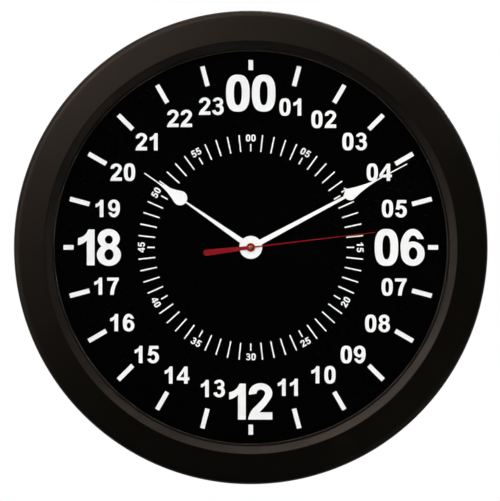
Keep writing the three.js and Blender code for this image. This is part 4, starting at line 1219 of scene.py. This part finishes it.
class CLOCK_OT_minute_track(Operator):
    """Minute strokes, with short ones under the labels, and the labels from 00 to 55"""

    bl_idname = "clock.minute_track"
    bl_label = "Minute track"

    def execute(self, context):
        sizes = context.scene.clock_print
        top = depths("dial")[1]
        bars = []
        for minute in range(60):
            outer = sizes.track_short if minute % 5 == 0 else sizes.track_outer
            bars.append((sizes.track_inner, outer, sizes.track_width, math.tau * minute / 60))
        form = bmesh.new()
        strokes(form, bars, top - sizes.ink, top + sizes.ink)
        add_piece("minute_track", form, "case", "dial_print")

        labels = bmesh.new()
        for minute in range(0, 60, 5):
            turn = math.tau * minute / 60
            middle = on_circle(sizes.label_circle, turn)
            lean = turn + math.pi if 15 < minute < 45 else turn
            shape = number(f"{minute:02d}", sizes.label_pitch * FIGURE_HEIGHT)

            def move(point):
                x, z = clockwise(point * sizes.label_height, lean)
                return middle[0] + x, middle[1] + z

            printed(labels, shape, move, top - sizes.ink, top + sizes.ink)
        add_piece("minute_labels", labels, "case", "dial_print")
        return {"FINISHED"}


# The hands


def leaf_outline(hands, which):
    """Outline of the hour or minute hand, pointing up: its right side, its left side and its hub."""
    def size(part):
        return getattr(hands, f"{which}_{part}")

    hub, reach, taper, needle = hands.hub_radius, size("length"), size("taper"), size("needle")
    bulb, swell = size("bulb"), size("bulb_radius")
    root, neck, tip = size("root") / 2, size("neck") / 2, size("needle_width") / 2
    lean, blunt, point = tip * 1.6, tip * 0.6, tip * 0.5
    root_turn = math.degrees(math.acos(root / hub))
    neck_turn = math.degrees(math.acos(neck / swell))
    leave = (swell * math.cos(taper), bulb + swell * math.sin(taper))
    rise = (leave[0] - lean) / math.tan(taper)
    control = (lean, min(leave[1] + rise, (leave[1] + needle) / 2))
    right = [
        *oval((0, bulb), (swell, swell), -neck_turn, math.degrees(taper), 24),
        *bend(leave, control, (tip, needle), 12)[1:],
        (tip, needle),
        (tip, reach - blunt),
        (point, reach),
    ]
    left = [(-x, z) for x, z in reversed(right)]
    return [*right, *left, *oval((0, 0), (hub, hub), 180 - root_turn, 360 + root_turn, 72)]


def sweep_outline(hands):
    """Outline of the second hand, pointing up: its arm, its boss and its tail with a round end."""
    boss = hands.second_boss
    root_turn = math.degrees(math.acos(hands.second_root / 2 / boss))
    tail_turn = math.degrees(math.acos(hands.second_tail_root / 2 / boss))
    tip, end = hands.second_tip / 2, hands.second_tail_end / 2
    return [
        (tip, hands.second_length), (-tip, hands.second_length),
        *oval((0, 0), (boss, boss), 180 - root_turn, 180 + tail_turn, 20),
        *oval((0, end - hands.second_tail), (end, end), 180, 360, 20),
        *oval((0, 0), (boss, boss), -tail_turn, root_turn, 20),
    ]


class CLOCK_OT_hands(Operator):
    """Stamped hour and minute hands, and the second hand with its tail"""

    bl_idname = "clock.hands"
    bl_label = "Hands"

    def execute(self, context):
        hands = context.scene.clock_hands
        for node, outline, turn, slot in (
            ("hour_hand", leaf_outline(hands, "hour"), hands.hour_turn, "hand_white"),
            ("minute_hand", leaf_outline(hands, "minute"), hands.minute_turn, "hand_white"),
            ("second_hand", sweep_outline(hands), hands.second_turn, "hand_red"),
        ):
            rear, front = depths(node)
            bush = half_width(f"{node}_bush") - hands.flange_width + hands.bush_gap
            hole = oval((0, 0), (bush, bush), steps=32)
            form = bmesh.new()
            stamped(form, [clockwise(point, turn) for point in outline], [hole], rear, front, hands.bevel)
            add_piece(f"{node}_blade", form, node, slot, node)
        return {"FINISHED"}


class CLOCK_OT_bushes(Operator):
    """Turned brass bushes of the three hands; that of the second hand is closed in front"""

    bl_idname = "clock.bushes"
    bl_label = "Hand bushes"

    def execute(self, context):
        hands = context.scene.clock_hands
        fine, edge, lip, dome = 0.05 * MM, 0.12 * MM, 0.15 * MM, 0.35 * MM
        bores = {"hour_hand": hands.hour_bore, "minute_hand": hands.minute_bore, "second_hand": 0}
        for body, bore in bores.items():
            node = f"{body}_bush"
            rear, front = depths(node)
            flange = half_width(node)
            wall = flange - hands.flange_width
            seat = rear + hands.flange_height
            collar = [(flange, rear, edge), (flange, seat, fine), (wall, seat, 0)]
            if bore:
                profile = [(bore, rear), *collar, (wall, front, lip), (bore, front)]
            else:
                profile = [(0, front, 0), (0, rear, 0), *collar, (wall, front, dome)]
            form = bmesh.new()
            turned(form, rounded(profile, fine), steps=40)
            add_piece(f"{node}_turned", form, body, "brass", node)
        return {"FINISHED"}


class CLOCK_OT_clamp(Operator):
    """Rubber washer, brass washer and chamfered nut that hold the movement"""

    bl_idname = "clock.clamp"
    bl_label = "Washers and nut"

    def execute(self, context):
        case = context.scene.clock_case
        hole = case.clamp_hole
        for node, slot, edge in (("rubber_washer", "rubber", 0.25 * MM), ("brass_washer", "brass", 0.1 * MM)):
            rear, front = depths(node)
            radius = half_width(node)
            profile = [(hole, rear), (radius, rear), (radius, front), (hole, front)]
            form = bmesh.new()
            turned(form, rounded(profile, edge), steps=64)
            add_piece(f"{node}_ring", form, "case", slot, node)
        rear, front = depths("hex_nut")
        corner = half_width("hex_nut")
        hexagon = [on_circle(corner, math.tau * (index + 1.5) / 6) for index in range(6)]
        form = bmesh.new()
        stamped(form, hexagon, [oval((0, 0), (hole, hole), steps=40)], rear, front, case.nut_bevel)
        add_piece("hex_nut_chamfered", form, "case", "brass", "hex_nut")
        return {"FINISHED"}


# The movement

# Ends of the cell in millimetres: nub and base by their radius, wrap and crimp by their inset from the cell's
# radius, each with its distance from the nearer end
CELL_NUB = ((0, 0), (2.3, 0), (2.65, 0.15), (2.75, 0.4), (2.75, 1.25), (4.4, 1.3), (4.7, 1.75), (5.6, 1.75),
            (5.9, 1.25))
CELL_WRAP = ((0.5, 1.2), (0.15, 1.4), (0, 1.9), (0, 2.6), (0, 13), (0, 30))
CELL_CRIMP = ((0, 1.2), (0.15, 0.6), (0.6, 0.35))
CELL_BASE = ((5.2, 0.45), (4.9, 0.1), (4.6, 0), (0, 0))


class CLOCK_OT_movement(Operator):
    """Finishes of the movement's own parts, which keep their CAD forms"""

    bl_idname = "clock.movement"
    bl_label = "Movement parts"

    def execute(self, context):
        finishes = {
            "movement_plastic": ["movement_case", "gear_bridge"],
            "gear_plastic": ["intermediate_wheel", "second_wheel", "third_wheel", "centre_wheel",
                             "minute_wheel", "hour_wheel"],
            "motor_steel": ["stator", "coil_core"],
            "copper_winding": ["coil"],
            "circuit": ["circuit_board"],
            "zinc_steel": ["quartz_crystal", "battery_contact_positive", "battery_contact_negative"],
            "magnet": ["rotor"],
        }
        for slot, nodes in finishes.items():
            for node in nodes:
                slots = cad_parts[node].material_slots
                if not slots:
                    raise RuntimeError(f"{node} has no material slot")
                for item in slots:
                    item.material = finish(slot)
        return {"FINISHED"}


class CLOCK_OT_movement_cover(Operator):
    """Movement cover with rounded edges, a ring round the knob and the signs of the cell's ends"""

    bl_idname = "clock.movement_cover"
    bl_label = "Movement cover"

    def execute(self, context):
        sizes = context.scene.clock_movement
        low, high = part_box("movement_cover")
        rear, front = depths("movement_cover")
        knob = centre("setting_knob")
        outline = rectangle(low.x, high.x, low.z, high.z, context.scene.clock_case.movement_corner)
        arbor = oval(knob, (sizes.arbor_hole, sizes.arbor_hole), steps=24)
        form = bmesh.new()
        stamped(form, outline, [arbor], rear, front, sizes.cover_round)
        add_piece("movement_cover_plate", form, "case", "movement_plastic", "movement_cover")

        arm, half = sizes.sign_arm, sizes.sign_half
        foot = low.z + sizes.sign_foot
        raised, sunk = rear - sizes.sign_rise, rear + sizes.sign_sink
        minus = rectangle(-arm, arm, -half, half)
        signs = bmesh.new()
        for sign, across in ((plus(arm, half), low.x + sizes.sign_inset), (minus, high.x - sizes.sign_inset)):
            stamped(signs, moved(sign, (across, foot)), [], raised, sunk, bevel=0.06 * MM)
        ring = [(sizes.ring_inner, sunk), (sizes.ring_outer, sunk), (sizes.ring_outer, raised),
                (sizes.ring_inner, raised)]
        turned(signs, rounded(ring, 0.08 * MM), 72, knob)
        add_piece("movement_cover_signs", signs, "case", "movement_plastic")
        return {"FINISHED"}


class CLOCK_OT_setting_knob(Operator):
    """Fluted setting knob with a dished face"""

    bl_idname = "clock.setting_knob"
    bl_label = "Setting knob"

    def execute(self, context):
        sizes = context.scene.clock_movement
        rear, front = depths("setting_knob")
        place = centre("setting_knob")
        radius = half_width("setting_knob")
        steps, land = sizes.flutes * 10, 0.2
        outline = []
        for step in range(steps):
            turn = math.tau * step / steps
            flute = max(0.0, math.cos(sizes.flutes * turn) - land) / (1 - land)
            outline.append(on_circle(radius - sizes.flute_depth * flute, turn))
        dish = radius * sizes.dish
        grip = bmesh.new()
        hole = oval(place, (dish, dish), steps=48)
        stamped(grip, moved(outline, place), [hole], rear, front, sizes.knob_bevel)
        add_piece("setting_knob_grip", grip, "minute_wheel", "knob_plastic", "setting_knob")

        lap, back = dish + 0.1 * MM, front - 0.3 * MM
        bore, blind = 0.75 * MM, rear + 1.2 * MM
        face = [(0, rear + 0.5 * MM, 0), (dish * 0.9, rear + 0.7 * MM), (lap, rear + 0.8 * MM)]
        profile = [*face, (lap, back), (bore, back), (bore, blind), (0, blind, 0)]
        web = bmesh.new()
        turned(web, rounded(profile, 0.1 * MM), 48, place)
        add_piece("setting_knob_web", web, "minute_wheel", "knob_plastic")
        return {"FINISHED"}


class CLOCK_OT_battery(Operator):
    """Dry cell with a rolled wrap, crimped ends and a nub"""

    bl_idname = "clock.battery"
    bl_label = "Battery"

    def execute(self, context):
        low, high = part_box("battery")
        middle = (low + high) / 2
        radius = (high.z - low.z) / 2
        span = high.x - low.x
        profile = [(across * MM, along * MM) for across, along in CELL_NUB]
        profile += [(radius - inset * MM, along * MM) for inset, along in CELL_WRAP]
        profile += [(radius - inset * MM, span - back * MM) for inset, back in CELL_CRIMP]
        profile += [(across * MM, span - back * MM) for across, back in CELL_BASE]
        form = bmesh.new()
        turned(form, profile, steps=56)
        lying = Matrix(((0, -1, 0, low.x), (0, 0, 1, middle.y), (1, 0, 0, middle.z), (0, 0, 0, 1)))
        bmesh.ops.transform(form, matrix=lying, verts=form.verts)
        add_piece("battery_cell", form, "battery", "cell_jacket", "battery")
        return {"FINISHED"}


# The stage

# Lamps: their power, place, size in depth and size along the case
FRONT_LAMPS = {
    "left_front_lamp": ("front_power", (-0.95, -2.4, 0.7), (0.8, 0.8)),
    "right_front_lamp": ("front_power", (1.0, -2.4, 0.35), (0.8, 0.8)),
}
CASE_LAMPS = {
    "key_lamp": ("key_power", (-0.95, -0.33, 1.05), (0.45, 2.0)),
    "top_lamp": ("top_power", (0.45, -0.1, 1.4), (0.14, 2.6)),
    "side_lamp": ("side_power", (-1.38, -0.1, -0.1), (0.16, 0.9)),
    "low_lamp": ("low_power", (0.95, -0.1, -1.0), (0.14, 0.8)),
}
BACK_LAMPS = {"back_lamp": ("back_power", (0.6, 1.9, 1.1), (1.4, 1.4))}


class CLOCK_OT_stage(Operator):
    """Pale floor, soft lamps, white room and the camera"""

    bl_idname = "clock.stage"
    bl_label = "Stage"

    def execute(self, context):
        scene = context.scene
        stage = scene.clock_stage
        scene.view_settings.view_transform = "Standard"
        self.add_floor(scene, stage)
        self.add_room(scene, stage)
        for lamps, tint, mirrored in (
            (FRONT_LAMPS, WHITE, False),
            (CASE_LAMPS, stage.lamp_tint, True),
            (BACK_LAMPS, WHITE, True),
        ):
            for name, (watts, place, size) in lamps.items():
                self.add_lamp(scene, name, place, size, getattr(stage, watts), tint, mirrored)
        self.add_camera(scene, stage)
        return {"FINISHED"}

    def add_camera(self, scene, stage):
        data = bpy.data.cameras.new("photo_camera")
        data.sensor_fit = "HORIZONTAL"
        data.sensor_width = 36.0
        data.lens = stage.focal_length
        data.shift_x = stage.shift_x
        data.shift_y = stage.shift_y
        camera = bpy.data.objects.new("photo_camera", data)
        camera.location = (0.0, -stage.camera_reach, 0.0)
        camera.rotation_euler = (math.pi / 2, 0.0, 0.0)
        scene.collection.objects.link(camera)
        scene.camera = camera

    def add_lamp(self, scene, name, place, size, watts, tint, mirrored):
        """Adds a lamp that faces the clock, its length parallel to the wall; gloss shows mirrored ones."""
        data = bpy.data.lights.new(name, "AREA")
        data.color = tint
        data.shape = "ELLIPSE"
        data.size, data.size_y = size
        data.energy = watts
        lamp = bpy.data.objects.new(name, data)
        lamp.location = place
        away = Vector(place).normalized()
        along = Vector((0.0, 1.0, 0.0)).cross(away).normalized()
        lamp.rotation_euler = Matrix((along.cross(away), along, away)).transposed().to_euler()
        lamp.visible_camera = False
        lamp.visible_glossy = mirrored
        scene.collection.objects.link(lamp)

    def add_floor(self, scene, stage):
        form = bmesh.new()
        bmesh.ops.create_grid(form, x_segments=24, y_segments=24, size=stage.floor_half)
        mesh = bpy.data.meshes.new("studio_floor")
        form.to_mesh(mesh)
        form.free()
        material, tree, shader = new_material("finish_floor")
        tint = scene.clock_colours.floor
        patches = use(tree, handling(), Scale=3.0)["Value"]
        ray = tree.nodes.new("ShaderNodeLightPath").outputs
        seen = calc(tree, ray["Is Glossy Ray"], ray["Is Transmission Ray"], "MAXIMUM")
        seen = calc(tree, seen, ray["Is Camera Ray"], "MAXIMUM")
        shade = blended(tree, patches, scaled(tint, 0.985), scaled(tint))
        dress(tree, shader, Base_Color=shade, Roughness=0.8, Specular_IOR_Level=0.1,
              Emission_Color=scaled(WHITE), Emission_Strength=calc(tree, seen, stage.floor_glow))
        mesh.materials.append(material)
        floor = bpy.data.objects.new("studio_floor", mesh)
        floor.location = (0.0, 0.0, -stage.floor_drop)
        floor.visible_glossy = floor.visible_transmission = False
        scene.collection.objects.link(floor)

    def add_room(self, scene, stage):
        """Adds a room that is white to the camera and, from behind, to gloss and glass."""
        world = bpy.data.worlds.new("studio_room")
        scene.world = world
        world.use_nodes = True
        tree = world.node_tree
        tree.nodes.clear()
        way = tree.nodes.new("ShaderNodeTexCoord").outputs["Generated"]
        back = add_node(tree, "ShaderNodeSeparateXYZ", Vector=way).outputs["Y"]
        behind = ranged(tree, back, stage.room_start, stage.room_full, stage.room_front, 1.0)
        ray = tree.nodes.new("ShaderNodeLightPath").outputs
        mirrored = calc(tree, ray["Is Glossy Ray"], ray["Is Transmission Ray"], "MAXIMUM")
        shown = calc(tree, calc(tree, mirrored, behind), ray["Is Camera Ray"], "MAXIMUM")
        sharp = calc(tree, mirrored, ray["Is Camera Ray"], "MAXIMUM")
        soft = calc(tree, calc(tree, 1.0, sharp, "SUBTRACT"), stage.ambient)
        light = add_node(tree, "ShaderNodeBackground", Color=scaled(WHITE),
                         Strength=calc(tree, shown, soft, "MAXIMUM"))
        add_node(tree, "ShaderNodeOutputWorld", Surface=light.outputs[0])


PIECES = (
    CLOCK_OT_bezel, CLOCK_OT_lens, CLOCK_OT_spacer_ring, CLOCK_OT_dial, CLOCK_OT_back_board, CLOCK_OT_screws,
    CLOCK_OT_hanger, CLOCK_OT_hour_numerals, CLOCK_OT_hour_marks, CLOCK_OT_minute_track, CLOCK_OT_hands,
    CLOCK_OT_bushes, CLOCK_OT_clamp, CLOCK_OT_movement, CLOCK_OT_movement_cover, CLOCK_OT_setting_knob,
    CLOCK_OT_battery, CLOCK_OT_stage,
)


class CLOCK_PT_build(Panel):
    """Lists the clock's pieces and the stage"""

    bl_idname = "CLOCK_PT_build"
    bl_label = "Wall clock"
    bl_space_type = "VIEW_3D"
    bl_region_type = "UI"
    bl_category = "Clock"

    def draw(self, context):
        column = self.layout.column()
        for piece in PIECES:
            column.operator(piece.bl_idname)


GROUPS = {
    "clock_case": CaseSizes,
    "clock_hands": HandSizes,
    "clock_movement": MovementSizes,
    "clock_print": PrintSizes,
    "clock_colours": Colours,
    "clock_stage": StageSizes,
}


def register():
    for item in (*GROUPS.values(), *PIECES, CLOCK_PT_build):
        bpy.utils.register_class(item)
    for name, group in GROUPS.items():
        setattr(bpy.types.Scene, name, PointerProperty(type=group))


def unregister():
    for name in GROUPS:
        delattr(bpy.types.Scene, name)
    for item in reversed((*GROUPS.values(), *PIECES, CLOCK_PT_build)):
        bpy.utils.unregister_class(item)


def main():
    register()
    for piece in PIECES:
        group, name = piece.bl_idname.split(".")
        getattr(getattr(bpy.ops, group), name)()


if __name__ == "__main__":
    main()
